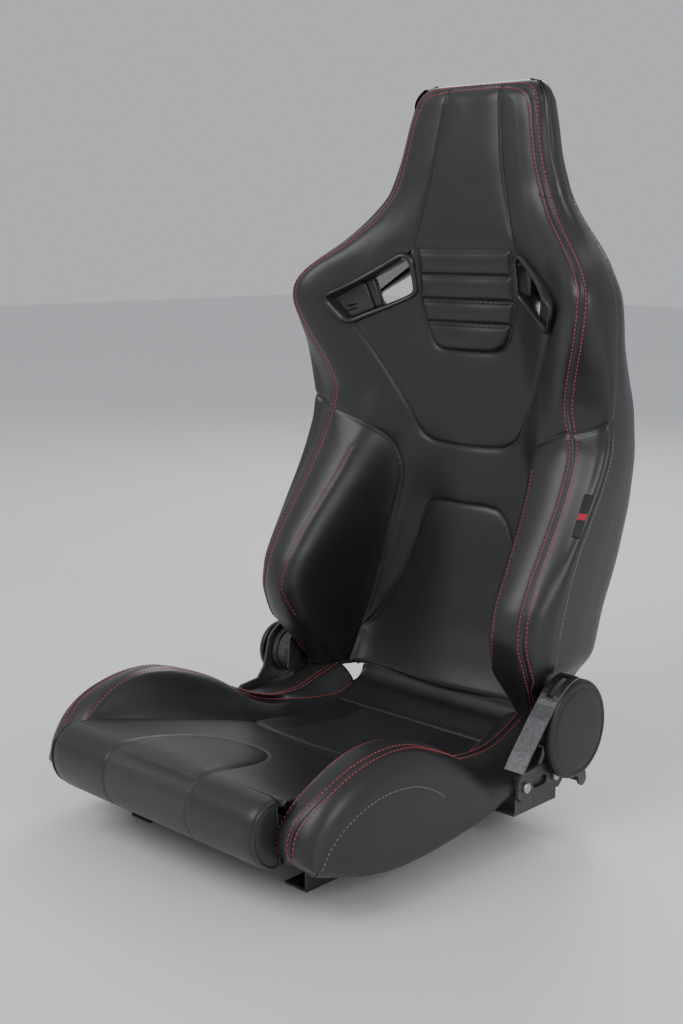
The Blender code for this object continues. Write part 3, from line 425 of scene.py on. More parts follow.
LEATHER = leather_material()
CARBON = carbon_material()
PLASTIC = plastic_material()
BEZEL = plastic_material("satin_bezel_plastic", (0.024, 0.024, 0.025), 0.27)
STEEL = metal_material("zinc_plated_steel", (0.42, 0.42, 0.43), 0.34, 1.0, (0.62, 0.62, 0.63))
LEVER = metal_material("satin_dark_steel", (0.050, 0.050, 0.052), 0.30, 0.9, (0.20, 0.20, 0.205))
PAINTED = metal_material("black_painted_steel", (0.022, 0.022, 0.023), 0.36, 0.35, (0.16, 0.16, 0.165))
SPRING = metal_material("spring_steel", (0.22, 0.22, 0.23), 0.36, 1.0, (0.4, 0.4, 0.41))
RED = thread_material("red_thread", (0.50, 0.016, 0.035))
GREY = thread_material("grey_thread", (0.20, 0.20, 0.205))
TAG = tag_material()


# ---- backrest surface ----

SPANS = [44, 26, 18, 8, 6, 8, 12, 14, 8, 14, 16, 16]
COLUMN = np.concatenate([[0], np.cumsum(SPANS)])
FACE, RIDGE, OUTER, COVER = COLUMN[2], COLUMN[3], COLUMN[4], COLUMN[7]
REAR_CENTRE = int(COLUMN[-1])

READ = {name: reading(table) for name, table in
        (("half", HALF_WIDTH), ("centre", CENTRE_Y), ("foot_x", FOOT_X), ("drop", FOOT_DROP),
         ("face_x", FACE_X), ("face_y", FACE_Y), ("ridge_x", RIDGE_X), ("ridge_y", RIDGE_Y),
         ("cover", COVER_Y), ("corner", CORNER_Y), ("rear", REAR_Y))}


def back_sections(heights):
    """Half sections of the backrest at the given heights, from the front centre round to the rear centre."""
    z = np.asarray(heights, float)
    half, centre, rear, corner = (READ[k](z) for k in ("half", "centre", "rear", "corner"))
    ridge_x, ridge_y, cover = READ["ridge_x"](z), READ["ridge_y"](z), READ["cover"](z)
    outer_x = np.minimum(ridge_x + ROW_GAP * 0.93, half - 0.002)
    outer_y = ridge_y + ROW_GAP * 0.38
    turn_y = np.minimum(outer_y + 0.030, outer_y * 0.5 + cover * 0.5)

    def rear_at(k):
        return corner + (rear - corner) * (1 - k ** 2.4)

    controls = [(np.zeros_like(z), centre), (READ["foot_x"](z), centre - READ["drop"](z)),
                (READ["face_x"](z), READ["face_y"](z)), (ridge_x, ridge_y), (outer_x, outer_y),
                (outer_x * 0.38 + half * 0.62, outer_y + 0.009), (half, turn_y), (half, cover),
                (half, cover * 0.4 + corner * 0.6), (half * 0.965, rear_at(0.965)),
                (half * 0.72, rear_at(0.72)), (half * 0.36, rear_at(0.36)), (np.zeros_like(z), rear)]
    points = np.stack([np.stack(c, axis=1) for c in controls], axis=1)
    flip = np.array([-1.0, 1.0])
    return flowing(points, SPANS, points[:, 1] * flip, points[:, -2] * flip)


def back_grid():
    """The whole backrest as rows of closed loops, with the head rounded over and the foot rounded under."""
    heights = np.arange(BACK_LOW, BACK_HIGH + 1e-6, ROW_STEP)
    rows = [(z, z, 0.0) for z in heights]
    crown = HEAD_TOP - BACK_HIGH
    rows += [(BACK_HIGH + crown * math.sin(a), BACK_HIGH + crown * 0.4 * math.sin(a),
              CROWN_INSET * (1 - math.cos(a))) for a in np.linspace(0, math.pi / 2, 18)[1:]]
    under = [(BACK_LOW - FOOT_RADIUS * math.sin(a), BACK_LOW, FOOT_RADIUS * (1 - math.cos(a)))
             for a in np.linspace(0, math.pi / 2, 5)[1:]]
    under += [(BACK_LOW - FOOT_RADIUS, BACK_LOW, inset) for inset in (0.010, 0.018, 0.027, 0.036, 0.045)]
    rows = under[::-1] + rows
    half = back_sections([r[1] for r in rows])
    inset, rise = (np.array([r[k] for r in rows])[:, None] for k in (2, 0))
    middle = (half[:, :1, 1] + half[:, -1:, 1]) / 2
    widest = np.abs(half[:, :, 0]).max(axis=1, keepdims=True)
    depth = (half[:, -1:, 1] - half[:, :1, 1]) / 2
    x = half[:, :, 0] * (widest - inset * np.where(rise > BACK_HIGH, CROWN_SIDES, 1.0)) / widest
    y = middle + (half[:, :, 1] - middle) * np.maximum(depth - inset, 0.0015) / depth
    z = np.repeat(np.array([r[0] for r in rows])[:, None], x.shape[1], axis=1)
    behind = np.clip(y - middle, 0, None) * np.clip((z - 0.86) / 0.08, 0, 1)
    right = np.stack([x, y, z - HEAD_FALL * behind], axis=2)
    left = mirrored(right[:, 1:-1][:, ::-1])
    return np.concatenate([right, left], axis=1)


def normals_of(grid, closed=True):
    """Unit normals of a grid, whose rows are closed loops or open lines."""
    if closed:
        across = np.roll(grid, -1, axis=1) - np.roll(grid, 1, axis=1)
    else:
        across = np.gradient(grid, axis=1)
    normal = np.cross(across, np.gradient(grid, axis=0))
    return normal / (np.linalg.norm(normal, axis=2, keepdims=True) + 1e-12)


def distance_to(points, lines):
    """Distance of each point from the nearest of some polylines, sampled finely."""
    dense = np.concatenate([resampled(line, 0.0012) for line in lines])
    tree = KDTree(len(dense))
    for index, point in enumerate(dense):
        tree.insert(point, index)
    tree.balance()
    return np.array([tree.find(p)[2] for p in points.reshape(-1, 3)]).reshape(points.shape[:-1])


def on_front(tree, outline):
    """Puts (x, z) points onto the front of a surface."""
    return cast(tree, [(x, -1.0, z) for x, z in outline], (0, 1, 0))


def both(line):
    return [line, mirrored(line)]


# ---- backrest covers ----

# Seams of the front in (x, z) for the +X side.
HEAD_SEAM = [(0.0455, 0.943), (0.049, 0.915), (0.0545, 0.875), (0.0615, 0.835), (0.070, 0.800),
             (0.0795, 0.765), (0.088, 0.738), (0.0895, 0.728)]
RIB_HEIGHTS, RIB_HALVES = (0.727, 0.693, 0.659, 0.627), (0.081, 0.0815, 0.083, 0.0745)
RIB_SIDE = [(0.0810, 0.727), (0.0815, 0.693), (0.0830, 0.660), (0.0760, 0.630), (0.0690, 0.6100),
            (0.0600, 0.5960), (0.0480, 0.5900), (0.0250, 0.5885), (0.0, 0.5880)]
SHIELD_SEAM = [(0.171, 0.622), (0.150, 0.585), (0.125, 0.540), (0.104, 0.500), (0.095, 0.482), (0.083, 0.467),
               (0.066, 0.4585), (0.040, 0.4555), (0.0, 0.4546)]
WING_SEAM = [(0.205, 0.497), (0.182, 0.4885), (0.160, 0.480), (0.134, 0.463), (0.122, 0.441), (0.117, 0.415),
             (0.121, 0.380), (0.129, 0.335), (0.139, 0.290), (0.148, 0.245), (0.156, 0.205), (0.162, 0.170),
             (0.162, 0.124)]
WING_FLANK = [(0.205, 0.196, 0.497), (0.222, 0.188, 0.500), (0.240, 0.192, 0.5045), (0.255, 0.203, 0.5105),
              (0.261, 0.218, 0.515)]
LUMBAR_SEAM = [(0.0, 0.3725), (0.045, 0.3720), (0.060, 0.3685), (0.072, 0.3565), (0.080, 0.340),
               (0.0895, 0.3095), (0.108, 0.2605), (0.128, 0.2205), (0.147, 0.187), (0.160, 0.172)]
LUMBAR_LOW = 0.172
INNER_ROW = [(0.164, 0.446), (0.171, 0.412), (0.179, 0.373), (0.187, 0.330), (0.191, 0.2875), (0.193, 0.249),
             (0.182, 0.207)]
HEAD_FLANK = [(0.1260, 0.2420, 0.797), (0.1420, 0.2500, 0.792), (0.1500, 0.2620, 0.790)]
TOP_ROW_IN = [(0.1005, 0.2450, 0.895), (0.0960, 0.2480, 0.912), (0.0885, 0.2515, 0.9260),
              (0.0760, 0.2535, 0.9350), (0.0580, 0.2545, 0.9390), (0.0300, 0.2550, 0.9405),
              (0.0, 0.2550, 0.9410)]
TOP_ROW_OUT = [(0.1100, 0.2490, 0.897), (0.1060, 0.2525, 0.916), (0.0985, 0.2570, 0.9315),
               (0.0845, 0.2600, 0.9420), (0.0620, 0.2610, 0.9465), (0.0300, 0.2615, 0.9480),
               (0.0, 0.2615, 0.9485)]
ROWS_START_Z = 0.136
LEATHER_BACKING, VINYL_BACKING = 0.0045, 0.003


def reach_of(line):
    """Reads x at a height from an (x, z) line, given from top to bottom or the other way."""
    points = np.array(sorted(line, key=lambda p: p[1]))
    return lambda z: np.interp(z, points[:, 1], points[:, 0])


def snapped(tree, points):
    return np.array([tree.find_nearest(Vector(p))[0][:] for p in points])


def symmetric(line):
    """A line that ends on the centre plane, carried over to the other side."""
    line = np.asarray(line)
    return np.concatenate([line, mirrored(line[:-1])[::-1]])


def ridge_path(grid, column, top):
    """Stitch path: up a column of the grid to the head, over its top edge and down the other side."""
    rows = [p for p in grid[:, column] if ROWS_START_Z < p[2] < top[0][2] - 0.012]
    half = np.concatenate([np.array(rows)[::4], np.array(top)])
    return symmetric(smooth_line(half, 0.003))


def back_lines(grid, tree):
    """Every seam and stitch row of the backrest, on its undressed surface."""
    def front(line):
        return on_front(tree, smooth_line(line))

    inner = snapped(tree, ridge_path(grid, RIDGE, TOP_ROW_IN))
    outer = snapped(tree, ridge_path(grid, OUTER, TOP_ROW_OUT))
    count = min(len(inner), len(outer))
    middle = snapped(tree, (resample_count(inner, count) + resample_count(outer, count)) / 2)
    flank = snapped(tree, smooth_line(WING_FLANK))
    ribs = [front([(-x, z), (0.0, z), (x, z)]) for z, x in zip(RIB_HEIGHTS, RIB_HALVES)]
    rib_side = front(RIB_SIDE)
    return {
        "inner": inner, "outer": outer, "ridge": middle,
        "head": both(front(HEAD_SEAM)), "ribs": ribs + both(rib_side), "shield": both(front(SHIELD_SEAM)),
        "wing": both(front(WING_SEAM)) + both(flank), "lumbar": both(front(LUMBAR_SEAM)),
        "single": both(front(INNER_ROW)), "head_flank": both(snapped(tree, smooth_line(HEAD_FLANK))),
    }


def resample_count(line, count):
    lengths = np.concatenate([[0], np.cumsum(np.linalg.norm(np.diff(line, axis=0), axis=1))])
    at = np.linspace(0, lengths[-1], count)
    return np.stack([np.interp(at, lengths, line[:, k]) for k in range(3)], axis=1)


def crowned(distance, height, length):
    """How far foam stands up between its seams, by distance from the nearest one."""
    return height * (1 - np.exp(-distance / length))


def grooved(distance, depth, width):
    return -depth * np.exp(-(distance / width) ** 2)


def dress_back(grid, lines):
    """Foam crowned between the seams, sewn grooves, and the four ribs."""
    normal = normals_of(grid)
    x, z = np.abs(grid[:, :, 0]), grid[:, :, 2]
    column = np.arange(grid.shape[1])
    column = np.minimum(column, grid.shape[1] - column)[None, :]
    front = column <= COVER
    deep = distance_to(grid, lines["head"] + lines["shield"] + lines["wing"] + lines["lumbar"] + lines["ribs"])
    ridge = distance_to(grid, [lines["ridge"]])
    rows = distance_to(grid, [lines["inner"], lines["outer"]])
    ribs = distance_to(grid, lines["ribs"])
    single = distance_to(grid, lines["single"] + lines["head_flank"])
    nearest = np.minimum(deep, ridge)
    move = crowned(nearest, 0.0042, 0.016) + grooved(deep, 0.0020, 0.0024)
    in_ribs = (x < reach_of(RIB_SIDE)(z)) & (z < 0.727) & (z > 0.588)
    arch = np.sqrt(np.clip(1 - (1 - np.clip(ribs / 0.0165, 0, 1)) ** 2, 0, 1))
    rolled = 0.0078 * arch + grooved(ribs, 0.0020, 0.0024)
    move = np.where(in_ribs, rolled, move)
    move += grooved(ridge, 0.0012, 0.0013) + grooved(rows, 0.0005, 0.0016) + grooved(single, 0.0008, 0.0018)
    move = np.where(front, move, 0.0) * np.clip((HEAD_TOP - z) / 0.020, 0, 1) ** 0.5
    seam = np.abs(column - COVER)
    move -= np.where(z > 0.13, 0.0009 * np.exp(-(seam / 0.9) ** 2), 0.0)
    return grid + normal * move[:, :, None]


def back_zone(x, z, column):
    """The cover piece that a face belongs to."""
    if column >= COVER or z < 0.1235:
        return "back_rear_cover"
    side = "left" if x > 0 else "right"
    x = abs(x)
    if z > 0.727 and x < HEAD_REACH(z) and column < FACE and z < 0.943:
        return "headrest_centre_panel"
    if 0.588 < z < 0.727 and x < RIB_REACH(z):
        return "rib_panel"
    if 0.4546 < z < 0.727 and x < SHIELD_REACH(z) and column < FACE:
        return "shield_panel"
    if z < wing_top(x) and x > BOLSTER_REACH(z):
        return f"back_bolster_cover_{side}"
    if z < 0.3725 and x < (LUMBAR_REACH(z) if z > LUMBAR_LOW else 1.0):
        return "lumbar_panel"
    return "headrest_and_wing_cover"


HEAD_REACH, RIB_REACH, SHIELD_REACH = reach_of(HEAD_SEAM), reach_of(RIB_SIDE), reach_of(SHIELD_SEAM)
LUMBAR_REACH, BOLSTER_REACH = reach_of(LUMBAR_SEAM), reach_of(WING_SEAM[5:])


def wing_top(x):
    """Height of the seam over the side bolster at a distance from the middle."""
    line = WING_SEAM[5::-1]
    return np.interp(x, [0.0] + [p[0] for p in line] + [0.262], [0.0] + [p[1] for p in line] + [0.515])


def inside_polygon(x, z, corners):
    inside = False
    for (x1, z1), (x2, z2) in zip(corners, corners[1:] + corners[:1]):
        if (z1 > z) != (z2 > z) and x < (x2 - x1) * (z - z1) / (z2 - z1) + x1:
            inside = not inside
    return inside


def metres_uv(grid):
    """Lengths along each row and each column, for the weave."""
    step = np.linalg.norm(np.diff(grid, axis=1), axis=2)
    u = np.concatenate([np.zeros((grid.shape[0], 1)), np.cumsum(step, axis=1)], axis=1)
    u -= u[:, [REAR_CENTRE]]
    return np.stack([u, grid[:, :, 2]], axis=2)


def shell_piece(name, grid_points, normals, uv, faces, material, thickness):
    """One cover cut from a dressed surface: outer skin, foam side and the edge between them.

    The skin keeps the shading of the whole surface, so that no seam shows where pieces meet.
    """
    used = sorted({v for f in faces for v in f})
    index = {v: i for i, v in enumerate(used)}
    points, normal = grid_points[used], normals[used]
    local = [tuple(index[v] for v in f) for f in faces]
    edges = dict.fromkeys(edge for f in local for edge in zip(f, f[1:] + f[:1]))
    rim = [(a, b) for a, b in edges if (b, a) not in edges]
    count = len(used)
    verts = np.concatenate([points, points - normal * thickness])
    all_faces = local + [tuple(v + count for v in reversed(f)) for f in local]
    all_faces += [(b, a, a + count, b + count) for a, b in rim]
    obj = mesh_object(name, verts, all_faces, material)
    if len(obj.data.vertices) == len(verts):
        obj.data.normals_split_custom_set_from_vertices(np.concatenate([normal, -normal]).tolist())
    layer = obj.data.uv_layers.new(name="cloth")
    places = np.concatenate([uv[used], uv[used]])
    for loop in obj.data.loops:
        layer.data[loop.index].uv = places[loop.vertex_index]
    return obj


def make_back():
    grid = back_grid()
    rows, columns = grid.shape[:2]
    lines = back_lines(grid, grid_tree(grid, True))
    dressed = dress_back(grid, lines)
    normals = normals_of(dressed)
    uv = metres_uv(dressed).reshape(-1, 2)
    hole = grown(SLOT, HOLE_MARGIN)
    zones = {}
    flat, flat_normals = dressed.reshape(-1, 3), normals.reshape(-1, 3)
    for face in grid_faces(rows, columns, True):
        centre = flat[list(face)].mean(axis=0)
        column = face[0] % columns
        column = min(column, columns - 1 - column)
        if inside_polygon(abs(centre[0]), centre[2], hole):
            continue
        zones.setdefault(back_zone(centre[0], centre[2], column), []).append(face)
    pieces = {}
    for name, faces in zones.items():
        rear = name == "back_rear_cover"
        pieces[name] = shell_piece(name, flat, flat_normals, uv, faces, CARBON if rear else LEATHER,
                                   VINYL_BACKING if rear else LEATHER_BACKING)
        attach(pieces[name], "backrest")
    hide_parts("headrest_pad")
    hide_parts("shoulder_wing_left", "shoulder_wing_right")
    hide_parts("upper_back_pad")
    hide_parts("lumbar_pad")
    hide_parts("back_shell", "back_lower_flap")
    for label in ("left", "right"):
        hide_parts(f"back_bolster_{label}")
    return grid_tree(dressed, True), lines


# ---- thread ----

def stitched(tree, line, turn_flanks=True):
    """Places of short raised stitches along a line on a surface, as (spot, normal, direction).

    turn_flanks is for a skin whose faces may turn inward, and sets the flanks' stitches on the outside.
    """
    line = resampled(line, THREAD_PITCH)
    stitches = []
    for a, b in zip(line[:-1], line[1:]):
        middle = Vector((a + b) / 2)
        spot, normal = tree.find_nearest(middle)[:2]
        outward_from = Vector((0, 0.23, middle.z))
        if turn_flanks and abs(middle.x) > 0.19 and normal.dot(middle - outward_from) < 0:
            normal = -normal
        along = Vector(b - a)
        along -= normal * along.dot(normal)
        stitches.append((spot, normal, along.normalized()))
    return stitches


def thread_object(name, stitches, material, body):
    """All the stitches of one colour on one body: each a thread bowed out of its two needle holes."""
    verts, faces = [], []
    sides = 6
    profile = [(-0.5, 0.15, -0.9), (-0.38, 0.75, -0.1), (-0.12, 1.0, 0.45), (0.12, 1.0, 0.45),
               (0.38, 0.75, -0.1), (0.5, 0.15, -0.9)]
    for spot, normal, along in stitches:
        across = along.cross(normal)
        base = len(verts)
        for t, scale, lift in profile:
            middle = spot + along * (t * THREAD_LENGTH) + normal * (THREAD_RADIUS * lift)
            for k in range(sides):
                a = 2 * math.pi * k / sides
                turned = across * math.cos(a) + normal * math.sin(a)
                verts.append(tuple(middle + turned * THREAD_RADIUS * scale))
        for i in range(len(profile) - 1):
            for k in range(sides):
                n = (k + 1) % sides
                faces.append((base + i * sides + k, base + i * sides + n, base + (i + 1) * sides + n,
                              base + (i + 1) * sides + k))
        last = base + (len(profile) - 1) * sides
        faces.append(tuple(base + k for k in reversed(range(sides))))
        faces.append(tuple(last + k for k in range(sides)))
    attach(mesh_object(name, verts, faces, material), body)


def make_back_stitching(skin, lines):
    red = stitched(skin, lines["inner"]) + stitched(skin, lines["outer"])
    for line in lines["single"]:
        red += stitched(skin, line)
    thread_object("back_stitching_red", red, RED, "backrest")
    grey = []
    boundary = [(READ["half"](z) + 0.002, READ["cover"](z) - 0.0055, z) for z in np.arange(0.25, 0.500, 0.006)]
    for line in both(np.array(boundary)):
        grey += stitched(skin, line)
    thread_object("back_stitching_grey", grey, GREY, "backrest")


# Corners of the tag's front edge, and how far back it reaches.
TAG_FOOT, TAG_TOP, TAG_WIDTH = (0.2523, 0.1475, 0.3760), (0.2490, 0.1779, 0.4261), 0.0115


def make_side_tag(skin):
    """Blank woven tag sewn flat onto the left flank."""
    foot, top = np.array(TAG_FOOT), np.array(TAG_TOP)
    rise = (top - foot) / np.linalg.norm(top - foot)
    heights, across = np.linspace(0, 1, 27), np.linspace(0.0, TAG_WIDTH, 13)
    front, back = [], []
    for k in heights:
        edge = foot + (top - foot) * k
        normal = skin.find_nearest(Vector(edge))[1]
        normal = normal if normal.x > 0 else -normal
        backward = normal.cross(Vector(rise))
        backward = backward if backward.y > 0 else -backward
        for step in across:
            spot = skin.find_nearest(Vector(edge) + backward.normalized() * step)[0]
            front.append(tuple(spot + normal * 0.0013))
            back.append(tuple(spot - normal * 0.0004))
    rows, columns = len(heights), len(across)
    count = rows * columns
    faces = grid_faces(rows, columns, False)
    rim = [(i * columns, (i + 1) * columns) for i in range(rows - 1)]
    rim += [((i + 1) * columns - 1, (i + 2) * columns - 1) for i in range(rows - 1)]
    rim += [(start + j, start + j + 1) for start in (0, count - columns) for j in range(columns - 1)]
    faces += [tuple(v + count for v in reversed(f)) for f in faces]
    faces += [(a, b, b + count, a + count) for a, b in rim]
    tag = outward(mesh_object("side_tag_cover_left", front + back, faces, TAG))
    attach(tag, "backrest")
    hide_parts("side_tag_left")


# ---- outlines of the harness opening ----

def rounded(corners, radius, steps=8):
    """Rounds each corner of a polygon with an arc."""
    count = len(corners)
    out = []
    for i in range(count):
        before, here, after = (np.array(corners[(i + k) % count], float) for k in (-1, 0, 1))
        u, v = before - here, after - here
        u, v = u / np.linalg.norm(u), v / np.linalg.norm(v)
        half = math.acos(float(np.clip(np.dot(u, v), -1, 1))) / 2
        reach = radius / math.tan(half)
        centre = here + (u + v) / np.linalg.norm(u + v) * radius / math.sin(half)
        start, end = here + u * reach - centre, here + v * reach - centre
        turn = math.atan2(start[0] * end[1] - start[1] * end[0], float(np.dot(start, end)))
        for k in range(steps + 1):
            a = turn * k / steps
            out.append((centre[0] + start[0] * math.cos(a) - start[1] * math.sin(a),
                        centre[1] + start[0] * math.sin(a) + start[1] * math.cos(a)))
    return out


def grown(corners, margin):
    """Moves every side of a convex polygon outward by a margin."""
    points = np.array(corners, float)
    middle = points.mean(axis=0)
    lines = []
    for i in range(len(points)):
        a, b = points[i], points[(i + 1) % len(points)]
        normal = np.array([b[1] - a[1], a[0] - b[0]]) / np.linalg.norm(b - a)
        if np.dot(normal, a - middle) < 0:
            normal = -normal
        lines.append((normal, np.dot(normal, a) + margin))
    out = []
    for i in range(len(points)):
        (n1, d1), (n2, d2) = lines[i - 1], lines[i]
        out.append(tuple(np.linalg.solve(np.array([n1, n2]), [d1, d2])))
    return out


BEZEL_SPLIT_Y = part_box("harness_rear_bezel_left")[0].y


def even_outline(margin, radius, count=120):
    """The opening's outline at a margin, as evenly spread points that start at the same corner."""
    points = rounded(grown(SLOT, margin), max(radius, 0.0015))
    points.append(points[0])
    return resampled(points, sum(math.dist(a, b) for a, b in zip(points, points[1:])) / count)[:count]


def skin_depth(tree, x, z, forward):
    """Distance along Y of the front (forward) or rear skin of the backrest at (x, z)."""
    start, way = (-1.0, 1.0) if forward else (1.0, -1.0)
    hit = tree.ray_cast(Vector((x, start, z)), Vector((0, way, 0)))[0]
    return hit.y


def rim_depths(skin, outline, forward):
    """Skin depths round an outline, smoothed so that the rim doesn't follow each seam."""
    depths = np.array([skin_depth(skin, x, z, forward) for x, z in outline])
    for _ in range(12):
        depths = (np.roll(depths, 1) + depths * 2 + np.roll(depths, -1)) / 4
    return depths


def rim_rings(profile, base, side):
    """Rings round the opening at each (margin, offset along Y from the skin)."""
    return [[(side * x, y + offset, z) for (x, z), y in zip(even_outline(margin, CORNER + margin), base)]
            for margin, offset in profile]


def sleeve_rings(y, side):
    """The far end of the tunnel's sleeve: its inner and outer edge in one plane."""
    return [[(side * x, y, z) for x, z in even_outline(margin, CORNER + margin)] for margin in (0.0, SLEEVE)]


def make_bezel(skin, label, side):
    """Front half of the harness tunnel: a rounded rim on the leather, the sleeve and the insert."""
    base = rim_depths(skin, even_outline(RIM + 0.004, 0.014), True)
    profile = [(RIM - 0.001, 0.010), (RIM, 0.003), (RIM + 0.0004, -0.0010), (RIM - 0.0004, -0.0044),
               (RIM - 0.0020, -0.0066), (RIM - 0.0042, -0.0074), (RIM - 0.0060, -0.0066),
               (RIM - 0.0075, -0.0044), (RIM - 0.0082, -0.0010), (RIM - 0.0086, 0.0060),
               (RIM - 0.0090, 0.0140)]
    rings = rim_rings(profile, base, side) + sleeve_rings(BEZEL_SPLIT_Y - 0.0003, side)
    rings += rim_rings([(SLEEVE, 0.014)], base, side)
    bezel = ring_solid(f"harness_bezel_cover_{label}", rings, BEZEL, closed=True)
    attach(bezel, "backrest")
    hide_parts(f"harness_bezel_{label}")
    make_insert(skin, label, side)


def insert_plate(name, corners, depth_of, thickness, side, radius):
    """A plate across part of the tunnel, with its front following the skin at a set depth."""
    rings = []
    for shrink, sink in ((0.0, thickness), (0.0, 0.0012), (-0.0004, 0.0004), (-0.0012, 0.0)):
        inner = rounded(grown(corners, shrink), max(radius + shrink, 0.0006), 5)
        rings.append([(side * x, depth_of(x, z) + sink, z) for x, z in inner])
    obj = ring_solid(name, rings, BEZEL)
    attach(obj, "backrest")


def make_insert(skin, label, side):
    """Moulded insert in the outer part of the opening, with two pressed bars, and the step behind it."""
    top_in, bottom_in, bottom_out, top_out = (np.array(corner) for corner in SLOT)

    def outer_part(top, bottom):
        return [top_in + (top_out - top_in) * top, bottom_in + (bottom_out - bottom_in) * bottom,
                bottom_out, top_out]

    corners = np.array(grown(SLOT, RIM + 0.004))
    edge = np.array([skin_depth(skin, x, z, True) for x, z in corners])
    plane = np.linalg.lstsq(np.column_stack([corners, np.ones(4)]), edge, rcond=None)[0]

    def depth(sink):
        return lambda x, z: plane[0] * x + plane[1] * z + plane[2] + sink

    insert_plate(f"harness_step_{label}", outer_part(0.52, 0.55), depth(0.0125), 0.008, side, 0.002)
    insert_plate(f"harness_insert_{label}", outer_part(0.60, 0.63), depth(0.0060), 0.006, side, 0.0035)
    for k in (0, 1):
        mark = [(0.1665, 0.6530 - 0.006 * k), (0.1660, 0.6505 - 0.006 * k), (0.1800, 0.6460 - 0.006 * k),
                (0.1808, 0.6485 - 0.006 * k)]
        insert_plate(f"harness_insert_bar_{label}_{k + 1}", mark, depth(0.0048), 0.002, side, 0.0008)


def make_rear_bezel(skin, label, side):
    """Rear half of the harness tunnel: a rounded rim on the rear cover and its sleeve."""
    base = rim_depths(skin, even_outline(RIM + 0.003, 0.014), False)
    profile = [(RIM - 0.001, -0.006), (RIM, 0.0), (RIM - 0.0006, 0.0020), (RIM - 0.0022, 0.0034),
               (RIM - 0.0050, 0.0038), (RIM - 0.0070, 0.0030), (RIM - 0.0084, 0.0006), (RIM - 0.0090, -0.005)]
    rings = rim_rings(profile, base, side) + sleeve_rings(BEZEL_SPLIT_Y, side)
    rings += rim_rings([(SLEEVE, 0.0)], np.maximum(base - 0.010, BEZEL_SPLIT_Y + 0.001), side)
    bezel = ring_solid(f"harness_rear_bezel_cover_{label}", rings, PLASTIC, closed=True)
    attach(bezel, "backrest")
    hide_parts(f"harness_rear_bezel_{label}")


# ---- cushion ----

# Profile of the middle of the cushion in (y, z): round the front roll and back along the seat.
CUSHION_PROFILE = [(-0.292, 0.0700), (-0.299, 0.0640), (-0.309, 0.0620), (-0.3220, 0.0680),
                   (-0.3325, 0.0805), (-0.3380, 0.0970), (-0.3375, 0.1130), (-0.3325, 0.1260),
                   (-0.3205, 0.1355), (-0.3040, 0.1390), (-0.2800, 0.1375), (-0.2500, 0.1330),
                   (-0.1860, 0.1210), (-0.1000, 0.1030), (-0.0500, 0.0930), (0.0, 0.0845),
                   (0.0600, 0.0785), (0.1262, 0.0785)]
ROLL_HALF = 0.1855
CENTRE_WIDTH = ([-0.36, -0.300, -0.285, -0.235, -0.19, -0.14, -0.05, 0.13],
                [0.1855, 0.1880, 0.1920, 0.1860, 0.1740, 0.1610, 0.1460, 0.1460])
BOLSTER_FRONT_X = 0.1880
FOOT_WIDTH = ([-0.30, -0.27, -0.235, -0.19, -0.14, -0.09, -0.05, 0.0, 0.13],
              [0.1880, 0.1850, 0.1780, 0.1660, 0.1540, 0.1430, 0.1340, 0.1310, 0.1300])
INSERT_HALF = 0.0765
INSERT_TIP_Y = -0.168
INSERT_START_Y = -0.300
INSERT_ROUNDNESS = 3.2
ROLL_MIDDLE_Z = 0.105
CROSS_SEAM = [(-0.150, -0.040), (-0.110, -0.052), (-0.060, -0.064), (0.0, -0.070), (0.060, -0.064),
              (0.110, -0.052), (0.150, -0.040)]

LOWER_ROLL = [(0.1262, 0.0795), (0.1262, 0.0812), (0.1370, 0.0862), (0.1500, 0.0925), (0.1620, 0.0975),
              (0.1695, 0.0988), (0.1790, 0.1010), (0.1900, 0.1110), (0.1950, 0.1230), (0.2070, 0.1230),
              (0.2030, 0.1000), (0.1850, 0.0840), (0.1700, 0.0785)]
LOWER_ROLL_HALF = 0.1440
ROLL_ENDS = ((-1.0, 0.78), (-0.995, 0.90), (-0.982, 0.975), (-0.955, 1.0), (0.955, 1.0), (0.982, 0.975),
             (0.995, 0.90), (1.0, 0.78))

# Bolster of the cushion: curves in (y, z) for the inner stitch row, the ridge and the lower edge.
BOLSTER_INNER = [(-0.3010, 0.0740), (-0.3060, 0.0880), (-0.3050, 0.1010), (-0.2880, 0.1250), (-0.2600, 0.1480),
                 (-0.1980, 0.1730), (-0.1430, 0.1705), (-0.0970, 0.1560), (-0.0540, 0.1365), (-0.0110, 0.1090),
                 (0.0240, 0.0945), (0.0580, 0.0895), (0.0900, 0.0872), (0.1250, 0.0880), (0.1590, 0.1000)]
BOLSTER_RIDGE = [(-0.3020, 0.0700), (-0.3080, 0.0850), (-0.3060, 0.1050), (-0.2900, 0.1300), (-0.2558, 0.1540),
                 (-0.1933, 0.1710), (-0.1354, 0.1685), (-0.0921, 0.1525), (-0.0500, 0.1325), (-0.0092, 0.1120),
                 (0.0254, 0.1000), (0.0587, 0.0965), (0.0900, 0.0985), (0.1250, 0.1090), (0.1600, 0.1215)]
BOLSTER_LOW = [(-0.2980, 0.0690), (-0.2960, 0.0670), (-0.2850, 0.0630), (-0.2620, 0.0565), (-0.2280, 0.0475),
               (-0.1750, 0.0390), (-0.1250, 0.0380), (-0.0880, 0.0405), (-0.0470, 0.0450), (-0.0080, 0.0515),
               (0.0280, 0.0600), (0.0600, 0.0625), (0.0900, 0.0630), (0.1250, 0.0660), (0.1500, 0.0780)]
FLANK_ARC = [(-0.2930, 0.0720), (-0.2800, 0.0950), (-0.2580, 0.1150), (-0.2250, 0.1290), (-0.1850, 0.1345),
             (-0.1450, 0.1290), (-0.1150, 0.1150), (-0.0980, 0.1030)]
CAP_X, PIPING = 0.1866, 0.0020
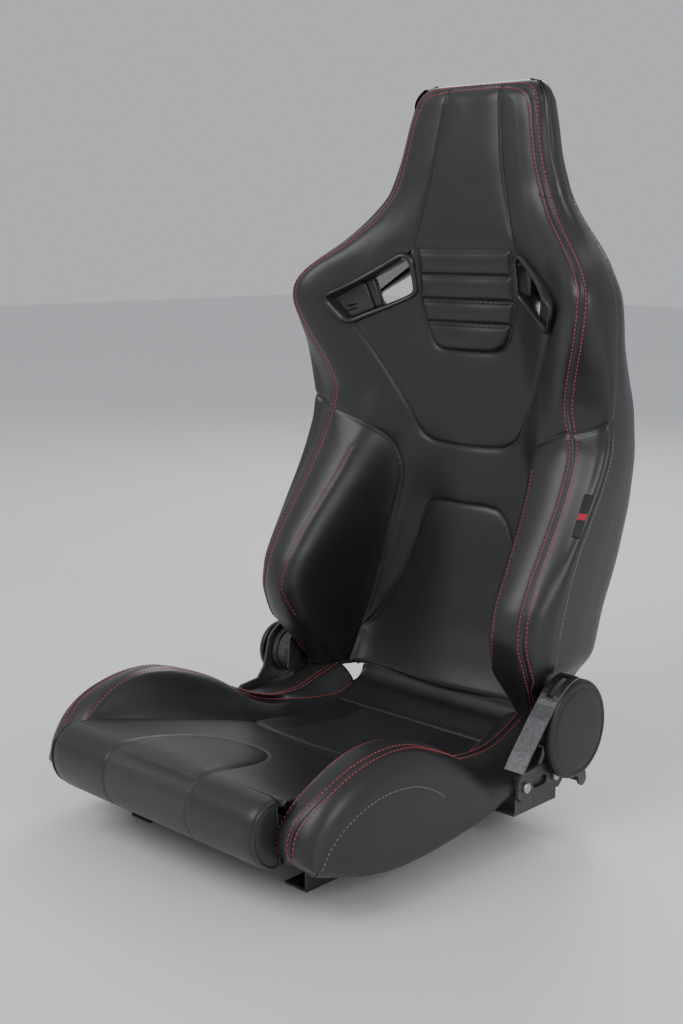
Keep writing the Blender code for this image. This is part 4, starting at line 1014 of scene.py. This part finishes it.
CAP_RINGS = ((0.1780, 0.97), (0.1850, 0.985), (0.1866, 0.965), (0.1874, 0.90), (0.1882, 0.78), (0.1886, 0.5),
             (0.1887, 0.2))
BOLSTER_SPANS = [14, 12, 8, 7, 6, 8, 12, 6, 6, 12]
# How far the stitch rows and the flank move towards the middle at the ends of the cushion, against y.
INNER_SHIFT = ([-0.305, -0.26, -0.20, -0.08, -0.05, -0.01, 0.038, 0.078, 0.1285, 0.155],
               [-0.012, -0.004, 0.0, 0.0, -0.002, -0.012, -0.024, -0.048, -0.064, -0.066])
RIDGE_SHIFT = ([-0.310, -0.296, -0.286, -0.26, -0.09, -0.05, -0.02, 0.02, 0.06, 0.1285, 0.155],
               [-0.018, -0.014, -0.006, 0.0, 0.0, -0.005, -0.026, -0.050, -0.053, -0.055, -0.058])
FLANK_SHIFT = ([-0.310, -0.285, -0.25, 0.09, 0.125, 0.155], [-0.008, -0.003, 0.0, 0.0, -0.020, -0.036])


def cushion_grid():
    """Skin of the middle of the cushion: rows along its profile, columns across it."""
    profile = smooth_line(CUSHION_PROFILE, 0.0025)
    width = reading(CENTRE_WIDTH, 0.006)
    across = np.linspace(-1, 1, 161)
    rows = []
    for y, z in profile:
        half = float(width(y))
        rows.append([(half * k, y, z - (0.004 * k * k if y > -0.30 else 0.0)) for k in across])
    return np.array(rows), profile


def cushion_insert_distance(x, y, z):
    """Signed distance from the outline of the woven insert: negative inside."""
    front = np.abs(x) - INSERT_HALF
    t = np.clip((y - INSERT_START_Y) / (INSERT_TIP_Y - INSERT_START_Y), 0, 2)
    half = INSERT_HALF * np.sqrt(np.clip(1 - np.clip(t, 0, 1) ** INSERT_ROUNDNESS, 0, 1))
    back = np.where(t < 1, np.abs(x) - half, y - INSERT_TIP_Y + np.abs(x) * 0.2)
    return np.where((y > INSERT_START_Y) & (z > ROLL_MIDDLE_Z), back, front)


def insert_outline():
    """Edge of the woven insert in (x, y), on the top of the cushion."""
    length = INSERT_TIP_Y - INSERT_START_Y
    t = np.sin(np.linspace(0, math.pi / 2, 40))
    return [(INSERT_HALF * math.sqrt(max(0.0, 1 - k ** INSERT_ROUNDNESS)), INSERT_START_Y + length * k)
            for k in t]


def on_top(tree, outline):
    """Puts (x, y) points onto the top of a surface."""
    return cast(tree, [(x, y, 1.0) for x, y in outline], (0, 0, -1))


def make_cushion_middle():
    grid, profile = cushion_grid()
    rows, columns = grid.shape[:2]
    tree = grid_tree(grid, False)
    tongue = on_top(tree, resampled(insert_outline(), 0.002))
    front_rows = [(INSERT_HALF, y, z) for y, z in profile if y < INSERT_START_Y]
    edge = both(tongue) + both(np.array(front_rows))
    cross = [on_top(tree, smooth_line(CROSS_SEAM))]
    normal = normals_of(grid, closed=False)
    seams = distance_to(grid, cross)
    insert = distance_to(grid, edge)
    x, y, z = grid[:, :, 0], grid[:, :, 1], grid[:, :, 2]
    inside = cushion_insert_distance(x, y, z) < 0
    move = crowned(seams, 0.0030, 0.018) + grooved(seams, 0.0020, 0.0026) + grooved(insert, 0.0014, 0.0020)
    lift = np.where(inside & (y > -0.318) & (z > 0.12), crowned(insert, 0.0042, 0.012), 0.0)
    rim = (1 - np.abs(np.linspace(-1, 1, columns))) * ROLL_HALF
    move = move + lift - 0.0055 * np.exp(-rim / 0.0045)[None, :] * (y < -0.292)
    dressed = grid + normal * move[:, :, None]
    normals = normals_of(dressed, closed=False)
    flat, flat_normals = dressed.reshape(-1, 3), normals.reshape(-1, 3)
    length = np.concatenate([[0], np.cumsum(np.linalg.norm(np.diff(profile, axis=0), axis=1))])
    uv = np.stack([x, np.repeat(length[:, None], columns, axis=1)], axis=2).reshape(-1, 2)
    cover = shell_piece("cushion_centre_cover", flat, flat_normals, uv, grid_faces(rows, columns, False),
                        mixed_material("centre_cover_two_cloths", "insert_distance"), LEATHER_BACKING)
    mask = cover.data.attributes.new("insert_distance", "FLOAT", "POINT")
    places = np.array([v.co[:] for v in cover.data.vertices])
    mask.data.foreach_set("value", cushion_insert_distance(*places.T).astype(np.float32))
    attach(cover, "base")
    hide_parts("seat_cushion", "knee_roll")


def bolster_rows():
    """Closed sections of the +X cushion bolster from its front foot to the recliner."""
    inner, ridge, low = (resample_stations(line, 170) for line in (BOLSTER_INNER, BOLSTER_RIDGE, BOLSTER_LOW))
    foot_x = reading(FOOT_WIDTH, 0.006)
    inner_shift, ridge_shift, flank_shift = (reading(t, 0.008) for t in (INNER_SHIFT, RIDGE_SHIFT, FLANK_SHIFT))
    profile = smooth_line(CUSHION_PROFILE, 0.002)
    top = profile[np.argmax(profile[:, 1]):]
    rows = []
    for i in range(len(ridge)):
        (iy, iz), (ry, rz), (ly, lz) = inner[i], ridge[i], low[i]
        seat = float(np.interp(iy, top[:, 0], top[:, 1])) - 0.006
        blend = min(1.0, max(0.0, (iy + 0.302) / 0.022))
        fx = BOLSTER_FRONT_X + (float(foot_x(iy)) - BOLSTER_FRONT_X) * blend
        fz = iz - 0.004 + (min(seat, iz - 0.001) - iz + 0.004) * blend
        fy = iy + 0.003 * (1 - blend)
        down = np.array([ly - ry, lz - rz])
        drop = np.linalg.norm(down) + 1e-9
        unit = down / drop
        first, second = min(0.010, drop * 0.25), min(0.034, drop * 0.55)
        keel = min(0.006, drop * 0.2)
        inward = max(0.0, fz - 0.004)
        row_x, edge_x, side_x = 0.2020 + float(inner_shift(iy)), float(ridge_shift(ry)), float(flank_shift(ry))
        rows.append([
            (fx, fy, fz),
            (fx * 0.5 + row_x * 0.5, fy * 0.5 + iy * 0.5, (fz + iz) / 2 + 0.05 * (iz - fz)),
            (row_x, iy, iz), (0.2255 + edge_x, ry * 0.85 + iy * 0.15, rz + 0.0012), (0.2350 + edge_x, ry, rz),
            (0.2455 + 0.45 * edge_x, ry + unit[0] * first, rz + unit[1] * first),
            (0.2515 + side_x, ry + unit[0] * second, rz + unit[1] * second),
            (0.2505 + side_x, ly - unit[0] * keel, lz - unit[1] * keel), (0.2430 + side_x, ly, lz - 0.001),
            (0.2290 + side_x, ly, lz + 0.0015), (fx + 0.004, fy * 0.5 + ly * 0.5, min(inward, lz + 0.008)),
        ])
    return np.array(rows)


def resample_stations(line, count):
    """Smooth curve through stations, keeping the same share of samples in each span."""
    points = np.asarray(line, float)
    ends = 2 * points[0] - points[1], 2 * points[-1] - points[-2]
    per_span = max(2, count // (len(points) - 1))
    return flowing(points[None], [per_span] * (len(points) - 1), ends[0][None], ends[1][None])[0]


def make_cushion_bolster(label, side):
    controls = bolster_rows()
    loops = flowing(np.concatenate([controls, controls[:, :1]], axis=1), BOLSTER_SPANS + [10],
                    controls[:, -1], controls[:, 1])[:, :-1]
    columns = np.concatenate([[0], np.cumsum(BOLSTER_SPANS)])
    single, ridge_in, ridge_out = (loops[:, columns[k]] for k in (2, 3, 4))
    middle = (ridge_in + ridge_out) / 2
    arc = cast(grid_tree(loops, True), [(1.0, y, z) for y, z in smooth_line(FLANK_ARC, 0.003)], (-1, 0, 0))
    normal = normals_of(loops)
    ridge = distance_to(loops, [middle])
    rows_apart = distance_to(loops, [ridge_in, ridge_out])
    sewn = distance_to(loops, [arc, single])
    move = crowned(ridge, 0.0030, 0.015) + grooved(ridge, 0.0012, 0.0014) + grooved(rows_apart, 0.0005, 0.0016)
    move += grooved(sewn, 0.0009, 0.0020)
    fade = np.clip(np.arange(len(loops)) / 10, 0, 1)[:, None]
    dressed = loops + normal * (move * fade)[:, :, None]
    flip = np.array([side, 1.0, 1.0])
    bolster = ring_solid(f"cushion_bolster_cover_{label}", (dressed * flip).tolist(), LEATHER)
    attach(bolster, "base")
    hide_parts(f"cushion_bolster_{label}")
    skin = surface_tree(bolster)
    red = []
    for line in (ridge_in[4:], ridge_out[4:], single[4:]):
        red += stitched(skin, line * flip, turn_flanks=False)
    return red, stitched(skin, arc * flip, turn_flanks=False)


def make_lower_roll():
    """Roll of the back's cover under the lumbar panel, down to the cushion."""
    points = np.array(LOWER_ROLL)
    loop = flowing(np.concatenate([points, points[:1]])[None], [6] * len(points), points[-1][None],
                   points[1][None])[0][:-1]
    middle = loop.mean(axis=0)
    rings = []
    for x, scale in ROLL_ENDS:
        rings.append([(LOWER_ROLL_HALF * x, *(middle + (point - middle) * scale)) for point in loop])
    roll = ring_solid("back_lower_roll_cover", rings, LEATHER)
    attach(roll, "backrest")
    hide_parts("back_lower_roll")


def make_roll_end(label, side):
    """D-shaped cap sewn into the end of the front roll, with a cord of piping round it."""
    outline = np.array([(y, z) for y, z in smooth_line(CUSHION_PROFILE[1:10], 0.002)])
    middle = np.array([-0.312, 0.102])
    rings = []
    for x, scale in CAP_RINGS:
        rings.append([(side * x, *(middle + (point - middle) * scale)) for point in outline])
    cap = ring_solid(f"roll_end_cap_{label}", rings, LEATHER)
    loop = np.concatenate([outline, outline[:1]])
    path = resampled(middle + (loop - middle) * 0.985, 0.003)[:-1]
    rings = []
    for i, (y, z) in enumerate(path):
        after, before = path[(i + 1) % len(path)], path[i - 1]
        along = (after - before) / np.linalg.norm(after - before)
        outside = np.array([-along[1], along[0]])
        rings.append([(side * (CAP_X + PIPING * math.cos(a)), y + outside[0] * PIPING * math.sin(a),
                       z + outside[1] * PIPING * math.sin(a)) for a in np.linspace(0, 2 * math.pi, 10)[:-1]])
    piping = ring_solid(f"roll_end_piping_{label}", rings, LEATHER, closed=True)
    for piece in (cap, piping):
        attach(piece, "base")


# ---- recliner ----

def make_recliner_cover(label, side):
    """Round moulded cover with a shallow groove inside its edge."""
    low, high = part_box(f"recliner_cover_{label}")
    cy, cz = (low.y + high.y) / 2, (low.z + high.z) / 2
    ry, rz = (high.y - low.y) / 2, (high.z - low.z) / 2
    inner = min(abs(low.x), abs(high.x))
    outer = max(abs(low.x), abs(high.x))
    depth = outer - inner
    profile = ((0.0, 0.985), (0.0, 1.0), (0.42, 1.0), (0.60, 0.992), (0.76, 0.972), (0.86, 0.945),
               (0.905, 0.915), (0.915, 0.890), (0.895, 0.872), (0.86, 0.862), (0.84, 0.850), (0.85, 0.838),
               (0.89, 0.822), (0.925, 0.79), (0.955, 0.70), (0.98, 0.55), (0.995, 0.35), (1.0, 0.12))
    rings = []
    for k, scale in profile:
        x = side * (inner + depth * k)
        rings.append([(x, cy + ry * scale * math.cos(a), cz + rz * scale * math.sin(a))
                      for a in (2 * math.pi * j / 96 for j in range(96))])
    cover = ring_solid(f"recliner_shell_{label}", rings, PLASTIC)
    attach(cover, "base")
    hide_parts(f"recliner_cover_{label}")


# ---- CAD nodes that stay in view ----

KEPT = (
    (("mount_rail", "front_cross_tube", "rear_cross_tube", "seat_pan", "base_bracket", "back_bracket",
      "back_frame", "back_cross_tube", "recliner_fixed", "recliner_moving", "back_bolt", "pivot_bolt"),
     PAINTED, 0.0006),
    (("base_bolt",), STEEL, 0.0004),
    (("release_lever", "sync_crank", "sync_rod"), LEVER, 0.0004),
    (("cushion_spring", "back_spring", "lever_return_spring"), SPRING, 0.0),
)


def dress_cad_nodes():
    for name, obj in NODES.items():
        for prefixes, material, edge in KEPT:
            if not name.startswith(prefixes):
                continue
            obj.data.materials.clear()
            obj.data.materials.append(material)
            if edge and not name.endswith(("tube", "frame")):
                add_bevel(obj, edge)


# ---- studio ----

def make_studio():
    floor_material, tree, shader = new_material("studio_floor", (0.80, 0.80, 0.80), 0.45)
    place = object_place(tree)
    tree.links.new(tint(tree, noise(tree, place, 2.0), (0.78, 0.78, 0.785), (0.82, 0.82, 0.825)),
                   shader.inputs["Base Color"])
    corners = [(-12, -12, 0), (12, -12, 0), (12, 12, 0), (-12, 12, 0)]
    floor = mesh_object("studio_floor", corners, [(0, 1, 2, 3)], floor_material)
    floor.location.z = -0.0004
    world = bpy.data.worlds.new("studio_world")
    world.use_nodes = True
    world.node_tree.nodes["Background"].inputs["Color"].default_value = (0.93, 0.95, 1.0, 1)
    world.node_tree.nodes["Background"].inputs["Strength"].default_value = 0.55
    bpy.context.scene.world = world
    for name, place, aim, size, power in (
            ("key_light", (-0.6, -2.6, 2.9), (0.0, 0.0, 0.45), 2.0, 62.0),
            ("side_light", (3.2, -0.6, 1.6), (0.0, 0.1, 0.45), 1.6, 34.0),
            ("rear_light", (-1.4, 2.4, 2.4), (0.0, 0.1, 0.6), 1.6, 40.0)):
        data = bpy.data.lights.new(name, "AREA")
        data.size = size
        data.energy = power
        lamp = bpy.data.objects.new(name, data)
        lamp.location = place
        lamp.rotation_euler = (Vector(aim) - Vector(place)).to_track_quat("-Z", "Y").to_euler()
        bpy.context.scene.collection.objects.link(lamp)


def make_camera():
    azimuth, elevation = math.radians(43.94), math.radians(10.90)
    back = Vector((math.sin(azimuth) * math.cos(elevation), -math.cos(azimuth) * math.cos(elevation),
                   math.sin(elevation)))
    data = bpy.data.cameras.new("camera")
    data.sensor_fit = "VERTICAL"
    data.sensor_height = 36.0
    data.lens = 50.77
    camera = bpy.data.objects.new("camera", data)
    camera.location = (1.275, -1.330, 0.7497)
    camera.rotation_euler = (-back).to_track_quat("-Z", "Y").to_euler()
    bpy.context.scene.collection.objects.link(camera)
    bpy.context.scene.camera = camera


def main():
    skin, lines = make_back()
    make_back_stitching(skin, lines)
    red, grey = [], []
    make_cushion_middle()
    make_lower_roll()
    make_side_tag(skin)
    for label, side in SIDES:
        make_bezel(skin, label, side)
        make_rear_bezel(skin, label, side)
        ridge_red, arc_grey = make_cushion_bolster(label, side)
        red += ridge_red
        grey += arc_grey
        make_roll_end(label, side)
        make_recliner_cover(label, side)
    thread_object("cushion_stitching_red", red, RED, "base")
    thread_object("cushion_stitching_grey", grey, GREY, "base")
    dress_cad_nodes()
    make_studio()
    make_camera()


main()
